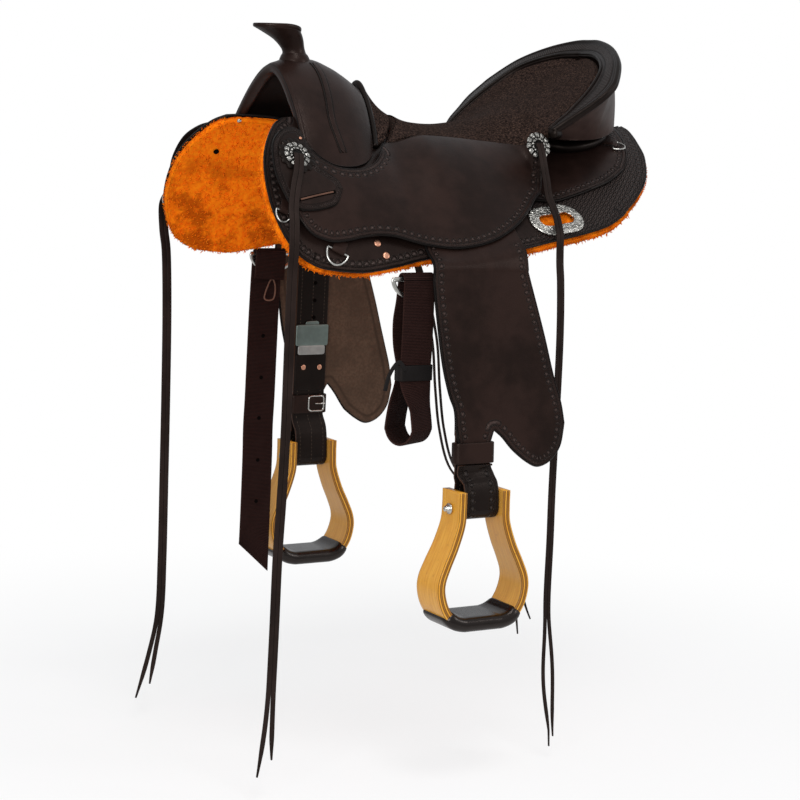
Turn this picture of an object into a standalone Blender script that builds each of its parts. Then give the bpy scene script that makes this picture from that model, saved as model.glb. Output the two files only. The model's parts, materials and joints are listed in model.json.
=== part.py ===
# Treeless western saddle, built as separate pieces.
# Metres, +Z up. X runs along the horse with the horn at -X, the near (left) side is -Y.
# The origin lies on the spine line under the lowest point of the seat.

import math

import bpy
import bmesh
import numpy as np
from mathutils import Matrix, Vector
from mathutils.bvhtree import BVHTree

SIDES = (("near", -1.0), ("off", 1.0))
GAP = 0.0004              # clearance kept between touching pieces

# Sheet thicknesses, and how far each layer stands off the horse's back
FLEECE = (-0.0135, -0.0010)
SKIRT = (0.0, 0.0045)
REAR_JOCKEY = (0.0056, 0.0096)
PATCH = (0.0180, 0.0208)
LEATHER = 0.0040
SEAT_FOAM = 0.022

# Fender, stirrup leather and stirrup
FENDER_TOP_Z = -0.150
FENDER_TOP_Y = 0.2445
FENDER_LEAN = 0.035       # outward shift per metre of drop
FENDER_THICK = 0.0048
STRAP_WIDTH = 0.056
STRAP_THICK = 0.0040
PIVOT_Z = -0.118          # hinge line of the fender, at the jockey's lower edge
PIVOT_Y = 0.2255
PIVOT_X = -0.050
STIRRUP_Y = 0.2550
BOLT_Z = {"near": -0.480, "off": -0.4880}            # the off leg hangs a little lower
STIRRUP_X = {"near": -0.0525, "off": -0.0580}
STRAP_TOP_X = {"near": -0.0585, "off": -0.0625}
FENDER_DROP = {"near": 0.0, "off": 0.0120}           # its fender's lower end with it
BOLT_R = 0.0040
ROLLER_R = 0.0120

# Rigging: latigo on the near side, off billet on the off side
RIG_X = -0.1440
RIG_Y = 0.2235
RIG_Z = -0.1600
WEB_WIDTH = 0.049
WEB_THICK = 0.0036

# Saddle strings: laces cut from leather, flat in section
LACE_WIDTH = {"front": 0.0074, "rear": 0.0062}
LACE_THICK = 0.0024

CONCHO_R = 0.0195


def clear_scene():
    for item in list(bpy.data.objects):
        bpy.data.objects.remove(item, do_unlink=True)


def make_material(name, color, roughness, metallic=0.0):
    mat = bpy.data.materials.new(name)
    mat.use_nodes = True
    shader = mat.node_tree.nodes["Principled BSDF"]
    shader.inputs["Base Color"].default_value = (*color, 1.0)
    shader.inputs["Roughness"].default_value = roughness
    shader.inputs["Metallic"].default_value = metallic
    return mat


FINISHES = {
    "leather": ((0.030, 0.018, 0.015), 0.42, 0.0),
    "black_leather": ((0.012, 0.011, 0.011), 0.38, 0.0),
    "suede": ((0.045, 0.032, 0.027), 0.95, 0.0),
    "fleece": ((0.83, 0.19, 0.010), 0.95, 0.0),
    "foam": ((0.10, 0.10, 0.10), 0.9, 0.0),
    "board": ((0.05, 0.05, 0.05), 0.5, 0.0),
    "steel": ((0.55, 0.56, 0.57), 0.25, 1.0),
    "webbing": ((0.050, 0.018, 0.016), 0.85, 0.0),
    "wood": ((0.62, 0.31, 0.055), 0.35, 0.0),
    "rubber": ((0.010, 0.010, 0.011), 0.6, 0.0),
}


def smooth_line(knots):
    """A smooth function of one number through (place, value) knots."""
    places = np.array([k[0] for k in knots], float)
    values = np.array([k[1] for k in knots], float)
    slopes = np.gradient(values, places)

    def value(at):
        at = np.clip(np.asarray(at, float), places[0], places[-1])
        i = np.clip(np.searchsorted(places, at) - 1, 0, len(places) - 2)
        span = places[i + 1] - places[i]
        t = (at - places[i]) / span
        start = values[i] * (1 + 2 * t) * (1 - t) ** 2 + slopes[i] * span * t * (1 - t) ** 2
        end = values[i + 1] * (3 - 2 * t) * t * t - slopes[i + 1] * span * t * t * (1 - t)
        return start + end

    return value


def spline(points, count):
    """Points on a smooth curve through the given points, equal numbers between them."""
    points = np.asarray(points, float)
    at = np.linspace(0, len(points) - 1, count)
    columns = [smooth_line(list(enumerate(points[:, c])))(at) for c in range(points.shape[1])]
    return np.stack(columns, -1)


def even(points, count):
    """The same smooth curve, sampled at equal steps of its length."""
    fine = spline(points, 40 * len(points))
    run = np.concatenate([[0], np.cumsum(np.linalg.norm(np.diff(fine, axis=0), axis=1))])
    at = np.linspace(0, run[-1], count)
    return np.stack([np.interp(at, run, fine[:, c]) for c in range(fine.shape[1])], -1)


# The horse's back: at each place x along it, the section leaves the spine channel at
# channel_half, channel_rise, and its slope steepens with the distance s down the side.
channel_half = smooth_line([(-.38, .070), (-.285, .066), (-.15, .050), (0, .037), (.20, .035), (.37, .035)])
channel_rise = smooth_line([(-.38, .076), (-.285, .070), (-.15, .040), (0, .010), (.14, .004),
                            (.26, .018), (.36, .042)])
top_slope = smooth_line([(-.38, 38), (-.285, 38), (-.15, 31), (0, 23), (.37, 22)])
low_slope = smooth_line([(-.38, 74), (-.285, 72), (-.15, 61), (0, 50), (.15, 48), (.37, 46)])
SIDE_LENGTH = 0.28


def slope_at(x, s):
    first, last = top_slope(x), low_slope(x)
    return np.radians(first + (last - first) * np.clip(s / SIDE_LENGTH, 0, 1.3) ** 0.8)


def back(x, s, h=0.0):
    """Point at height h over the back, y positive: the slope summed down the side."""
    x, s, h = np.broadcast_arrays(*[np.asarray(v, float) for v in (x, s, h)])
    steps = np.linspace(0, 1, 33).reshape((33,) + (1,) * x.ndim)
    angle = slope_at(x, s * steps)
    across = (np.cos(angle)[1:] + np.cos(angle)[:-1]).mean(0) / 2
    down = (np.sin(angle)[1:] + np.sin(angle)[:-1]).mean(0) / 2
    end = slope_at(x, s)
    y = channel_half(x) + s * across + h * np.sin(end)
    z = channel_rise(x) - s * down + h * np.cos(end)
    return np.stack([x, y, z], -1)


def back_height(x, y, h, inner=0.0):
    """Height of the layer h over the back, above the point x, y; level nearer in than inner."""
    s = np.linspace(inner, 0.26, 60)
    line = back(np.full_like(s, x), s, np.full_like(s, h))
    return float(np.interp(abs(y), line[:, 1], line[:, 2]))


def side_distance(x, y, h):
    """How far down the side the layer h is y away from the centre plane."""
    s = np.linspace(0, 0.26, 60)
    return float(np.interp(abs(y), back(np.full_like(s, x), s, np.full_like(s, h))[:, 1], s))


def on_side(points, side):
    """Points given with y positive, moved to the near or the off side."""
    return np.asarray(points, float) * np.array([1.0, side, 1.0])


def local_frame(x, s, h, side):
    """A point over the back with its directions along x, down the side, and outward."""
    step = 0.002
    here = on_side(back(x, s, h), side)
    along = on_side(back(x + step, s, h), side) - on_side(back(x - step, s, h), side)
    down = on_side(back(x, s + step, h), side) - on_side(back(x, s - step, h), side)
    along /= np.linalg.norm(along)
    down -= along * down.dot(along)
    down /= np.linalg.norm(down)
    out = np.cross(along, down)
    out *= np.sign(out[2] + out[1] * side)
    return here, along, down, out


def make_object(name, verts, faces, material, angle=40):
    mesh = bpy.data.meshes.new(name)
    mesh.from_pydata([tuple(v) for v in verts], [], faces)
    shape = bmesh.new()
    shape.from_mesh(mesh)
    bmesh.ops.recalc_face_normals(shape, faces=shape.faces)
    shape.to_mesh(mesh)
    shape.free()
    mesh.shade_smooth()
    mesh.set_sharp_from_angle(angle=math.radians(angle))
    item = bpy.data.objects.new(name, mesh)
    item.data.materials.append(MATERIALS[material])
    bpy.context.collection.objects.link(item)
    return item


def grid_solid(name, top, bottom, material, ring=False):
    """A closed solid between two grids of points; ring joins the last row to the first."""
    rows, cols = top.shape[:2]
    verts = np.concatenate([top.reshape(-1, 3), bottom.reshape(-1, 3)])
    low = rows * cols
    faces = []
    for i in range(rows if ring else rows - 1):
        a, b = i * cols, (i + 1) % rows * cols
        for j in range(cols - 1):
            faces.append((a + j, a + j + 1, b + j + 1, b + j))
            faces.append((low + a + j, low + b + j, low + b + j + 1, low + a + j + 1))
        faces.append((a, b, low + b, low + a))
        faces.append((a + cols - 1, low + a + cols - 1, low + b + cols - 1, b + cols - 1))
    if not ring:
        for j in range(cols - 1):
            faces.append((j, low + j, low + j + 1, j + 1))
            end = (rows - 1) * cols
            faces.append((end + j, end + j + 1, low + end + j + 1, low + end + j))
    return make_object(name, verts, faces, material)


def sweep(name, sections, material, ring=False):
    """A closed solid through a row of closed sections, n by m points."""
    rows, cols = sections.shape[:2]
    faces = []
    for i in range(rows if ring else rows - 1):
        a, b = i * cols, (i + 1) % rows * cols
        for j in range(cols):
            k = (j + 1) % cols
            faces.append((a + j, a + k, b + k, b + j))
    if not ring:
        faces.append(tuple(range(cols))[::-1])
        faces.append(tuple(range((rows - 1) * cols, rows * cols)))
    return make_object(name, sections.reshape(-1, 3), faces, material)


def offset(grid, distance, outward):
    """The grid moved along its own normals, to the side that outward names."""
    normal = np.cross(np.gradient(grid, axis=0), np.gradient(grid, axis=1))
    normal /= np.linalg.norm(normal, axis=-1, keepdims=True)
    normal *= np.sign((normal * np.asarray(outward, float)).sum(-1, keepdims=True))
    return grid + normal * np.asarray(distance, float)[..., None]


def coons(top, bottom, left, right):
    """A grid between four edge curves that meet at their ends."""
    u = np.linspace(0, 1, len(top))[:, None, None]
    v = np.linspace(0, 1, len(left))[None, :, None]
    ruled = (1 - v) * top[:, None] + v * bottom[:, None] + (1 - u) * left[None] + u * right[None]
    corners = (1 - u) * ((1 - v) * top[0] + v * bottom[0]) + u * ((1 - v) * top[-1] + v * bottom[-1])
    return ruled - corners


def layer(flat, heights, side):
    """Top and bottom grids of a sheet that lies on the back."""
    low, high = heights
    x, s = flat[..., 0], flat[..., 1]
    return on_side(back(x, s, high), side), on_side(back(x, s, low), side)


def tangents(points, ring=False):
    if ring:
        step = np.roll(points, -1, axis=0) - np.roll(points, 1, axis=0)
    else:
        step = np.gradient(points, axis=0)
    return step / np.linalg.norm(step, axis=1, keepdims=True)


def ribbon_sections(points, normals, width, thick, ring=False):
    """Rectangular sections along a path, lying flat against the given normals."""
    along = tangents(points, ring)
    across = np.cross(along, normals)
    across /= np.linalg.norm(across, axis=1, keepdims=True)
    up = np.cross(across, along)
    width = np.broadcast_to(np.asarray(width, float), len(points))[:, None] / 2
    corners = [(-1, -1), (1, -1), (1, 1), (-1, 1)]
    return np.stack([points + across * width * a + up * thick / 2 * b for a, b in corners], 1)


def bent_wire(name, points, axis, wire, material, sides=5):
    """A closed ring of round wire along a flat loop whose plane faces axis."""
    along = tangents(points, ring=True)
    axis = np.asarray(axis, float)
    across = np.cross(along, axis)
    turn = np.arange(sides) * 2 * math.pi / sides
    circle = [across * math.cos(t) * wire + axis * math.sin(t) * wire for t in turn]
    return sweep(name, np.stack([points + c for c in circle], 1), material, ring=True)


def cut(item, cutter):
    cutter.hide_render = True
    cutter.display_type = "WIRE"
    tool = item.modifiers.new("cut", "BOOLEAN")
    tool.object = cutter
    tool.operation = "DIFFERENCE"
    tool.solver = "EXACT"


# Outlines on the back, as (x, s) points
SKIRT_FRONT = [(-.293, .028), (-.311, .043), (-.331, .073), (-.344, .103), (-.350, .134), (-.351, .166),
               (-.347, .193), (-.336, .2235), (-.320, .246), (-.302, .258)]
SKIRT_LOW = [(-.302, .258), (-.281, .265), (-.227, .267), (-.176, .257), (-.120, .243), (-.04, .235),
             (.035, .225), (.104, .208), (.190, .190), (.229, .173)]
SKIRT_REAR = [(.346, -.0350), (.348, -.015), (.339, .028), (.327, .069), (.295, .121), (.229, .173)]
SKIRT_TOP = [(-.293, .028), (-.25, .016), (-.20, .008), (-.10, .002), (0, 0), (.10, -.004), (.165, -.020),
             (.205, -.0340), (.27, -.0350), (.346, -.0350)]
REAR_JOCKEY_TOP = [(.092, .012), (.14, -.010), (.205, -.0335), (.27, -.0340), (.326, -.0340)]
REAR_JOCKEY_LOW = [(.080, .130), (.122, .1345), (.157, .1265), (.197, .115), (.240, .102), (.276, .083)]
REAR_JOCKEY_FRONT = [(.092, .012), (.080, .130)]
REAR_JOCKEY_REAR = [(.326, -.0340), (.325, -.020), (.317, .015), (.299, .055), (.276, .083)]
PATCH_FRONT = [(-.290, .060), (-.306, .063), (-.320, .072), (-.334, .090), (-.341, .118), (-.341, .146),
               (-.332, .178)]
PATCH_REAR = [(-.283, .064), (-.276, .090), (-.273, .118), (-.264, .126), (-.246, .138), (-.241, .152)]
PATCH_LOW = [(-.332, .178), (-.315, .188), (-.296, .189), (-.273, .184), (-.255, .175), (-.241, .152)]
SCOOP = [(-.298, .070), (-.284, .072), (-.266, .098), (-.248, .110), (-.228, .114), (-.200, .110),
         (-.175, .098), (-.157, .081), (-.145, .063)]
JOCKEY_LOW = [(-.322, .185), (-.316, .201), (-.304, .218), (-.290, .226), (-.270, .230), (-.247, .227),
              (-.223, .221), (-.197, .217), (-.174, .218), (-.151, .224), (-.126, .230), (-.091, .234),
              (-.063, .232), (-.034, .226), (-.004, .214), (.031, .192), (.061, .165), (.084, .140)]
JOCKEY_LIFT = [(0, .0130), (14, .0130), (16, .0145), (17, .0170)]
# The jockey's rear tip stands away from the back, up to the corner of the cantle: x, y, z
JOCKEY_TIP = [(.1000, .1560, -.0400), (.1040, .1520, -.0150), (.1035, .1475, .0110)]

# Seat: matching points down its centre line and along its near edge (y positive)
SEAT_CENTRE = [(-.080, .0640), (-.062, .0565), (-.040, .0520), (0, .0500), (.035, .0530), (.070, .0595),
               (.100, .0670), (.124, .0750), (.142, .0825), (.160, .0900), (.178, .0985), (.202, .1120),
               (.222, .1260), (.240, .1390), (.254, .1490), (.261, .1545)]
SEAT_EDGE = [(-.128, .088, .0165), (-.101, .085, .0290), (-.068, .083, .0336), (-.019, .083, .0320),
             (.029, .085, .0280), (.0735, .092, .0245), (.0973, .106, .0245), (.1100, .119, .0325),
             (.1190, .135, .0480), (.130, .1393, .0580), (.150, .1416, .0750), (.186, .135, .1055),
             (.218, .1156, .1330), (.238, .085, .1480), (.255, .045, .1570), (.262, .008, .1585)]
SEAT_ROWS = 20
SEAT_COLS = 13

CANTLE_RIM = [(.121, .152, .0475), (.133, .160, .058), (.151, .168, .0715), (.176, .179, .091),
              (.198, .180, .108), (.215, .172, .124), (.242, .1375, .152), (.265, .087, .172),
              (.279, .035, .1825), (.282, 0, .184)]
CANTLE_FOOT = [(.140, .100, .036), (.190, .112, .034), (.240, .095, .036), (.285, .065, .045),
               (.312, .030, .058), (.322, 0, .062)]

FORK_FOOT = [(-.2760, .0645), (-.2630, .0885), (-.2465, .1020), (-.228, .107), (-.201, .103), (-.179, .092),
             (-.163, .077), (-.153, .062)]
FORK_RIDGE = [(-.268, .1290), (-.256, .1340), (-.238, .1385), (-.205, .1375), (-.180, .1290),
              (-.163, .1205), (-.146, .1100), (-.134, .1020)]       # x, z

LIP_HALF = 0.097
LIP_TOP = (-.123, .108)
LIP_FOOT = (-.143, .0175)

# Where each side's fittings sit: (x, s, height over the back)
CONCHO_FRONT = (-.302, .108, .0220)
CONCHO_REAR = (.0975, .1465, .0250)       # a point: x, y, z
CONCHO_REAR_FACE = (0.0, .90, .35)
SLOT_PLATE = (.109, .1720, .0049)
SLOT_TURN = 10
DEES = {"front": ((-.3345, .1860, .0070), 20, .022, .016, .0013),
        "lower": ((-.2620, .2390, .0072), 25, .032, .021, .0015),
        "rear": ((.2930, .0250, .0122), -35, .021, .016, .0013)}     # place, tilt, width, drop, wire


def build_panels():
    for label, side in SIDES:
        flat = coons(even(SKIRT_TOP, 19), even(SKIRT_LOW, 19), even(SKIRT_FRONT, 8), even(SKIRT_REAR, 8))
        skirt = grid_solid(f"{label}_skirt", *layer(flat, SKIRT, side), "leather")
        cut(skirt, slot_cutter(label, side))
        flat = coons(even(SKIRT_TOP, 17), even(SKIRT_LOW, 17), even(SKIRT_FRONT, 7), even(SKIRT_REAR, 7))
        flat[..., 1] = np.maximum(flat[..., 1], -.0280)
        grid_solid(f"{label}_fleece", *layer(flat, FLEECE, side), "fleece")
        flat = coons(even(REAR_JOCKEY_TOP, 12), even(REAR_JOCKEY_LOW, 12),
                     even(REAR_JOCKEY_FRONT, 6), even(REAR_JOCKEY_REAR, 6))
        grid_solid(f"{label}_rear_jockey", *layer(flat, REAR_JOCKEY, side), "leather")
        flat = coons(even([PATCH_FRONT[0], PATCH_REAR[0]], 6), even(PATCH_LOW, 6),
                     even(PATCH_FRONT, 9), even(PATCH_REAR, 9))
        grid_solid(f"{label}_front_patch", *layer(flat, PATCH, side), "leather")


def slot_frame(side):
    here, along, down, out = local_frame(*SLOT_PLATE, side)
    turn = math.radians(SLOT_TURN)
    c, s = math.cos(turn), math.sin(turn)
    return here, along * c - down * s, down * c + along * s, out


def stadium(half_length, radius, count):
    """Outline of a slot with round ends, counter-clockwise."""
    turns = np.linspace(-math.pi / 2, math.pi / 2, count)
    right = [(half_length - radius + radius * math.cos(t), radius * math.sin(t)) for t in turns]
    return np.array(right + [(-x, -y) for x, y in right])


def slot_cutter(label, side):
    here, along, down, out = slot_frame(side)
    loop = [here + along * a + down * b for a, b in stadium(.0300, .0135, 5)]
    sections = np.stack([np.array(loop) - out * .0045, np.array(loop) + out * .004])
    sections[0] -= out * .0012
    cutter = sweep(f"{label}_slot_cutter", sections, "leather")
    return cutter


def build_slot_plates():
    for label, side in SIDES:
        here, along, down, out = slot_frame(side)
        outer = stadium(.0465, .0285, 7)
        inner = stadium(.0300, .0135, 7)
        rows = []
        for (a, b), (c, d) in zip(outer, inner):
            wide = here + along * a + down * b
            narrow = here + along * c + down * d
            rows.append([wide + out * .0012, wide + out * .0032, narrow + out * .0032, narrow + out * .0012])
        sweep(f"{label}_slot_plate", np.array(rows), "steel", ring=True)


def seat_surface(rows, cols, reach=1.0):
    """Seat top: each row is a curve x, z = even powers of the share across, centre to edge."""
    centre = spline([(x, 0, z) for x, z in SEAT_CENTRE], rows)[:, None]
    edge = spline(SEAT_EDGE, rows)[:, None]
    v = np.linspace(-reach, reach, cols)[None, :]
    share = np.abs(v)[..., None]
    power = np.linspace(2.3, 2.0, rows)[:, None]
    x = centre[..., 0] + (edge[..., 0] - centre[..., 0]) * v ** 2
    z = centre[..., 2] + (edge[..., 2] - centre[..., 2]) * share[..., 0] ** power
    return np.stack([x, edge[..., 1] * v, z], -1)


def clear_of_back(points, h, inner=0.0):
    """Lifts the points that lie lower than h over the back; over the rear jockeys, higher."""
    for point in points.reshape(-1, 3):
        rise = h + float(np.interp(point[0], [.070, .078], [0, .0051]))
        point[2] = max(point[2], back_height(point[0], point[1], rise, inner))


def build_seat():
    top = seat_surface(SEAT_ROWS, SEAT_COLS)
    thick = np.interp(np.linspace(0, 15, SEAT_ROWS), [0, 6, 9, 15], [SEAT_FOAM, SEAT_FOAM, .012, .007])
    low = top.copy()
    low[..., 2] -= thick[:, None]
    clear_of_back(low, .0056)
    grid_solid("seat", top, low, "suede")
    base_top = low[4:11, 2:-2] - np.array([0, 0, .0006])
    base_low = base_top - np.array([0, 0, .0400])
    clear_of_back(base_low, .0056, -.006)
    base_low[..., 2] = np.minimum(base_low[..., 2], base_top[..., 2] - .0015)
    grid_solid("seat_base", base_top, base_low, "foam")


def build_jockeys():
    count = 24
    lift = smooth_line(JOCKEY_LIFT)(np.arange(len(JOCKEY_LOW)))
    low_knots = back(*np.array(JOCKEY_LOW).T, lift)
    low = spline(np.concatenate([low_knots, JOCKEY_TIP]), count)
    share = np.linspace(0, 1, count)
    low_s = np.interp(np.linspace(0, 20, count), range(18), [s for x, s in JOCKEY_LOW])
    low_angle = slope_at(low[:, 0], low_s)
    low_angle = np.where(share > .84, np.radians(np.interp(share, [.84, .92, 1], [46, 62, 68])), low_angle)
    scoop = back(*np.array(SCOOP).T, .0130)
    suede = [(x, y + .0028, z - .0012) for x, y, z in SEAT_EDGE[:7]]
    suede += [(.1100, .1250, .0330), (.1150, .1335, .0400)]
    high = even(np.concatenate([scoop, suede]), count)
    high_angle = np.radians(np.interp(share, [0, .25, .42, .52, .86, .94, 1], [48, 54, 38, 20, 24, 50, 66]))
    reach = np.linalg.norm(low - high, axis=1)[:, None] * .36
    start = np.stack([0 * share, np.cos(high_angle), -np.sin(high_angle)], -1) * reach
    end = np.stack([0 * share, np.cos(low_angle), -np.sin(low_angle)], -1) * reach
    v = np.linspace(0, 1, 7)[None, :, None]
    draped = ((1 - v) ** 3 * high[:, None] + 3 * (1 - v) ** 2 * v * (high + start)[:, None]
              + 3 * (1 - v) * v * v * (low - end)[:, None] + v ** 3 * low[:, None])
    # In front it lies flat over the skirt; behind the scoop it hangs from the seat's edge
    low_flat = spline(JOCKEY_LOW + [JOCKEY_LOW[-1]] * 3, count)[:, None]
    high_flat = np.array([(x, side_distance(x, y, .0130)) for x, y, z in high])[:, None]
    flat = high_flat * (1 - v) + low_flat * v
    lying = back(flat[..., 0], flat[..., 1], .0130)
    weight = np.clip((-.110 - high[:, 0]) / .036, 0, 1)[:, None, None]
    grid = lying * weight + draped * (1 - weight)
    for label, side in SIDES:
        bottom = on_side(grid, side)
        top = offset(bottom, np.full(grid.shape[:2], LEATHER), (0, side, .6))
        grid_solid(f"{label}_seat_jockey", top, bottom, "leather")


def build_lip():
    """Raised front of the seat: a leather wall that stands behind the fork."""
    v = np.linspace(-1, 1, 15)
    arch = (np.sqrt(v * v + .02) - math.sqrt(.02)) / (math.sqrt(1.02) - math.sqrt(.02))
    crest = np.stack([LIP_TOP[0] + (LIP_FOOT[0] - LIP_TOP[0]) * v ** 2, LIP_HALF * v,
                      LIP_TOP[1] + (LIP_FOOT[1] - LIP_TOP[1]) * arch], -1)
    foot = seat_surface(SEAT_ROWS, 15, reach=.985)[0] + np.array([-.0012, 0, -.0008])
    u = np.linspace(0, 1, 5)[None, :, None]
    sag = np.array([0.0, 0.0, -.006]) * np.sin(math.pi * u)
    top = crest[:, None] * (1 - u) + foot[:, None] * u + sag * (1 - np.abs(v))[:, None, None]
    low = offset(top, np.full(top.shape[:2], -.0075), (.6, 0, .8))
    clear_of_back(top, .0075)
    clear_of_back(low, .0054)
    grid_solid("seat_lip", top, low, "leather")


def fork_surface(rows, cols):
    """Fork skin: from the ridge, height falls as a power of the share across."""
    foot = spline(back(*np.array(FORK_FOOT).T, .0084), rows)[:, None]
    ridge = spline(FORK_RIDGE, rows)[:, None]
    v = np.linspace(-1, 1, cols)[None, :]
    share = np.abs(v)
    power = np.linspace(1.7, 1.9, rows)[:, None]
    x = ridge[..., 0] + (foot[..., 0] - ridge[..., 0]) * share ** 1.6
    z = ridge[..., 1] + (foot[..., 2] - ridge[..., 1]) * share ** power
    return np.stack([x, foot[..., 1] * v, z], -1)


def build_fork():
    rows, cols = 10, 17
    skin = fork_surface(rows, cols)
    share = np.abs(np.linspace(-1, 1, cols))[None, :] * np.ones((rows, 1))
    crown = .0030 + .0066 * (1 - share / .75) ** 2
    low = offset(skin, -.0030 + 0 * share, (0, 0, 1))
    clear_of_back(low, .0054)
    cover = grid_solid("fork_cover", skin, low, "leather")
    under = [offset(skin, depth, (0, 0, 1))[:, 2:-2]
             for depth in (-.0036 + 0 * share, -.0036 - crown, -.0042 - crown, -.0060 - crown)]
    grid_solid("pommel_insert", under[0], under[1], "board")
    grid_solid("gullet_lining", under[2], under[3], "black_leather")
    return cover


def build_horn(cover):
    """Horn neck in oval rings that lean forward, under a thick oval cap."""
    rings = [(-.2290, .1400, .0205, .0200), (-.2300, .1450, .0170, .0165), (-.2330, .1530, .0175, .0165),
             (-.2400, .1640, .0225, .0195), (-.2500, .1735, .0300, .0240), (-.2580, .1800, .0355, .0275)]
    first = rings[0]
    rings = [(first[0], first[1], first[2] * grow, first[3] * grow) for grow in (.15, .45, .75)] + rings
    sides = 16
    turn = np.arange(sides) * 2 * math.pi / sides
    sections = np.array([np.stack([x + long_r * np.cos(turn), wide_r * np.sin(turn),
                                   z - (z - first[1]) * .02 * np.cos(turn)], -1)
                         for x, z, long_r, wide_r in rings])
    bpy.context.view_layer.update()
    tree = BVHTree.FromObject(cover, bpy.context.evaluated_depsgraph_get())
    for point in sections[:4].reshape(-1, 3):
        hit = tree.ray_cast(Vector((point[0], point[1], .3)), Vector((0, 0, -1)))[0]
        point[2] = hit.z + .0010
    sweep("horn_neck", sections, "leather")
    cap = [(.0020, .985), (.0033, 1.02), (.0060, 1.03), (.0078, 1.0), (.0092, .93), (.0100, .70)]
    top = sections[-1]
    centre = top.mean(0)
    rows = [centre + (top - centre) * grow + np.array([0, 0, rise - .0014]) for rise, grow in cap]
    sweep("horn_cap", np.array(rows), "leather")


def mirror_path(half, count):
    """A curve from the near side over the centre to the off side."""
    half = np.asarray(half, float)
    whole = np.concatenate([half * [1, -1, 1], half[-2::-1]])
    return even(whole, count)


def rim_frames(count):
    rim = mirror_path(CANTLE_RIM, count)
    inner_knots = [(x, y + .0006, z) for x, y, z in SEAT_EDGE[9:]]
    inner_knots = [(.1190, .1365, .0480)] + inner_knots + [(.2630, 0, .1590)]
    inner = mirror_path(inner_knots, count)
    reach = rim - inner
    reach /= np.linalg.norm(reach, axis=1, keepdims=True)
    face = np.cross(tangents(rim), reach)
    face /= np.linalg.norm(face, axis=1, keepdims=True)
    face *= np.sign(face[:, 2:3])
    return rim, inner, reach, face


def build_cantle():
    count = 25
    rim, inner, reach, face = rim_frames(count)
    start = inner + reach * .0028
    rows = [start + face * .0012, (start + rim) / 2 + face * .0030, rim - reach * .004 + face * .0030,
            rim + face * -.0010, rim - reach * .0008 - face * .0065, rim - reach * .006 - face * .0090,
            (start + rim) / 2 - face * .0045, start - face * .0040]
    grid = np.stack(rows, 1)
    sweep("cantle_rim", grid, "black_leather")
    foot = mirror_path(CANTLE_FOOT, count)
    head = rim - reach * .014 - face * .0105
    keep = slice(1, count - 1)
    u = np.linspace(0, 1, 4)[None, :, None]
    bow = np.array([0, 0, -1.0]) * .004 * np.sin(math.pi * u)
    wall = head[keep, None] * (1 - u) + foot[keep, None] * u + bow
    inside = wall.copy()
    centre = np.array([.17, 0, 0])
    pull = centre - wall
    pull[..., 2] = 0
    pull /= np.linalg.norm(pull, axis=-1, keepdims=True)
    inside += pull * .0042
    grid_solid("cantle_back", wall, inside, "leather")
    board = seat_surface(60, 11, reach=.90)[36:57:3]
    thick = np.interp(np.linspace(0, 15, 60), [9, 15], [.012, .007])[36:57:3, None]
    board_top = board - np.array([0, 0, 1.0]) * (thick + .0016)[..., None]
    grid_solid("cantle_board", board_top, board_top - np.array([0, 0, .0055]), "board")
    line = mirror_path([(.178, .036, 0), (.191, .046, 0), (.207, .0545, 0), (.232, .0576, 0),
                        (.263, .0525, 0), (.284, .0385, 0), (.296, .0180, 0), (.299, 0, 0)], 19)
    line[:, 2] = [back_height(x, y, .0104, -.036) + .0085 for x, y, z in line]
    along = tangents(line)
    up = np.array([0, 0, 1.0])
    side = np.cross(along, up)
    turn = np.arange(8) * math.pi / 4
    roll = [line + side * math.cos(t) * .0100 + up * math.sin(t) * .0080 for t in turn]
    sections = np.stack(roll, 1)
    for point in sections.reshape(-1, 3):
        point[2] = max(point[2], back_height(point[0], point[1], .0104, -.036))
    sweep("cantle_base_roll", sections, "black_leather")


def build_conchos():
    sides = 16
    turn = np.arange(sides) * 2 * math.pi / sides
    profile = [(.90, 0), (1.0, .0008), (1.0, .0020), (.72, .0034), (.30, .0036)]
    for label, side in SIDES:
        here, along, down, out = local_frame(*CONCHO_FRONT, side)
        places = [("front", here, along, down, out)]
        rear = on_side(CONCHO_REAR, side)
        out = on_side(CONCHO_REAR_FACE, side)
        out /= np.linalg.norm(out)
        along = np.array([1.0, 0, 0])
        places.append(("rear", rear, along, np.cross(out, along), out))
        for where, here, along, down, out in places:
            rows = [[here + (along * math.cos(t) + down * math.sin(t)) * CONCHO_R * grow + out * rise
                     for t in turn] for grow, rise in profile]
            sweep(f"{label}_{where}_concho", np.array(rows), "steel")


# Routes of the saddle strings: over the leather as (x, s, h), then hanging as x, y, z
FRONT_DRAPE = [(-.3040, .122, .0272), (-.3090, .136, .0262), (-.3160, .152, .0258), (-.3230, .170, .0258),
               (-.3290, .190, .0262), (-.3330, .212, .0280)]
FRONT_HANG = [(-.3345, .2215, -.1220), (-.3352, .2190, -.1600), (-.3360, .2175, -.2500),
              (-.3375, .2170, -.3750), (-.3405, .2165, -.4600), (-.3440, .2160, -.5400),
              (-.3460, .2155, -.6500), (-.3490, .2150, -.7600), (-.3530, .2150, -.8350)]
OFF_FRONT_HANG = [(-.3300, .2215, -.1220), (-.3262, .2190, -.1600), (-.3240, .2175, -.2500),
                  (-.3235, .2170, -.3750), (-.3240, .2165, -.5000), (-.3245, .2165, -.6300),
                  (-.3270, .2165, -.7150), (-.3380, .2165, -.7800), (-.3500, .2165, -.8370)]
REAR_DRAPE = [(.1085, .150, .0160), (.1075, .165, .0135), (.1040, .180, .0135), (.0980, .197, .0140),
              (.0935, .210, .0150)]
OFF_REAR_DRAPE = [(.1075, .150, .0160), (.1080, .165, .0135), (.1080, .180, .0135), (.1070, .197, .0140),
                  (.1060, .210, .0150)]
REAR_TOP = [(.0978, .1520, .0260), (.0985, .1570, .0120), (.1000, .1615, -.0060), (.1035, .1650, -.0280),
            (.1060, .1680, -.0480)]
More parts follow.
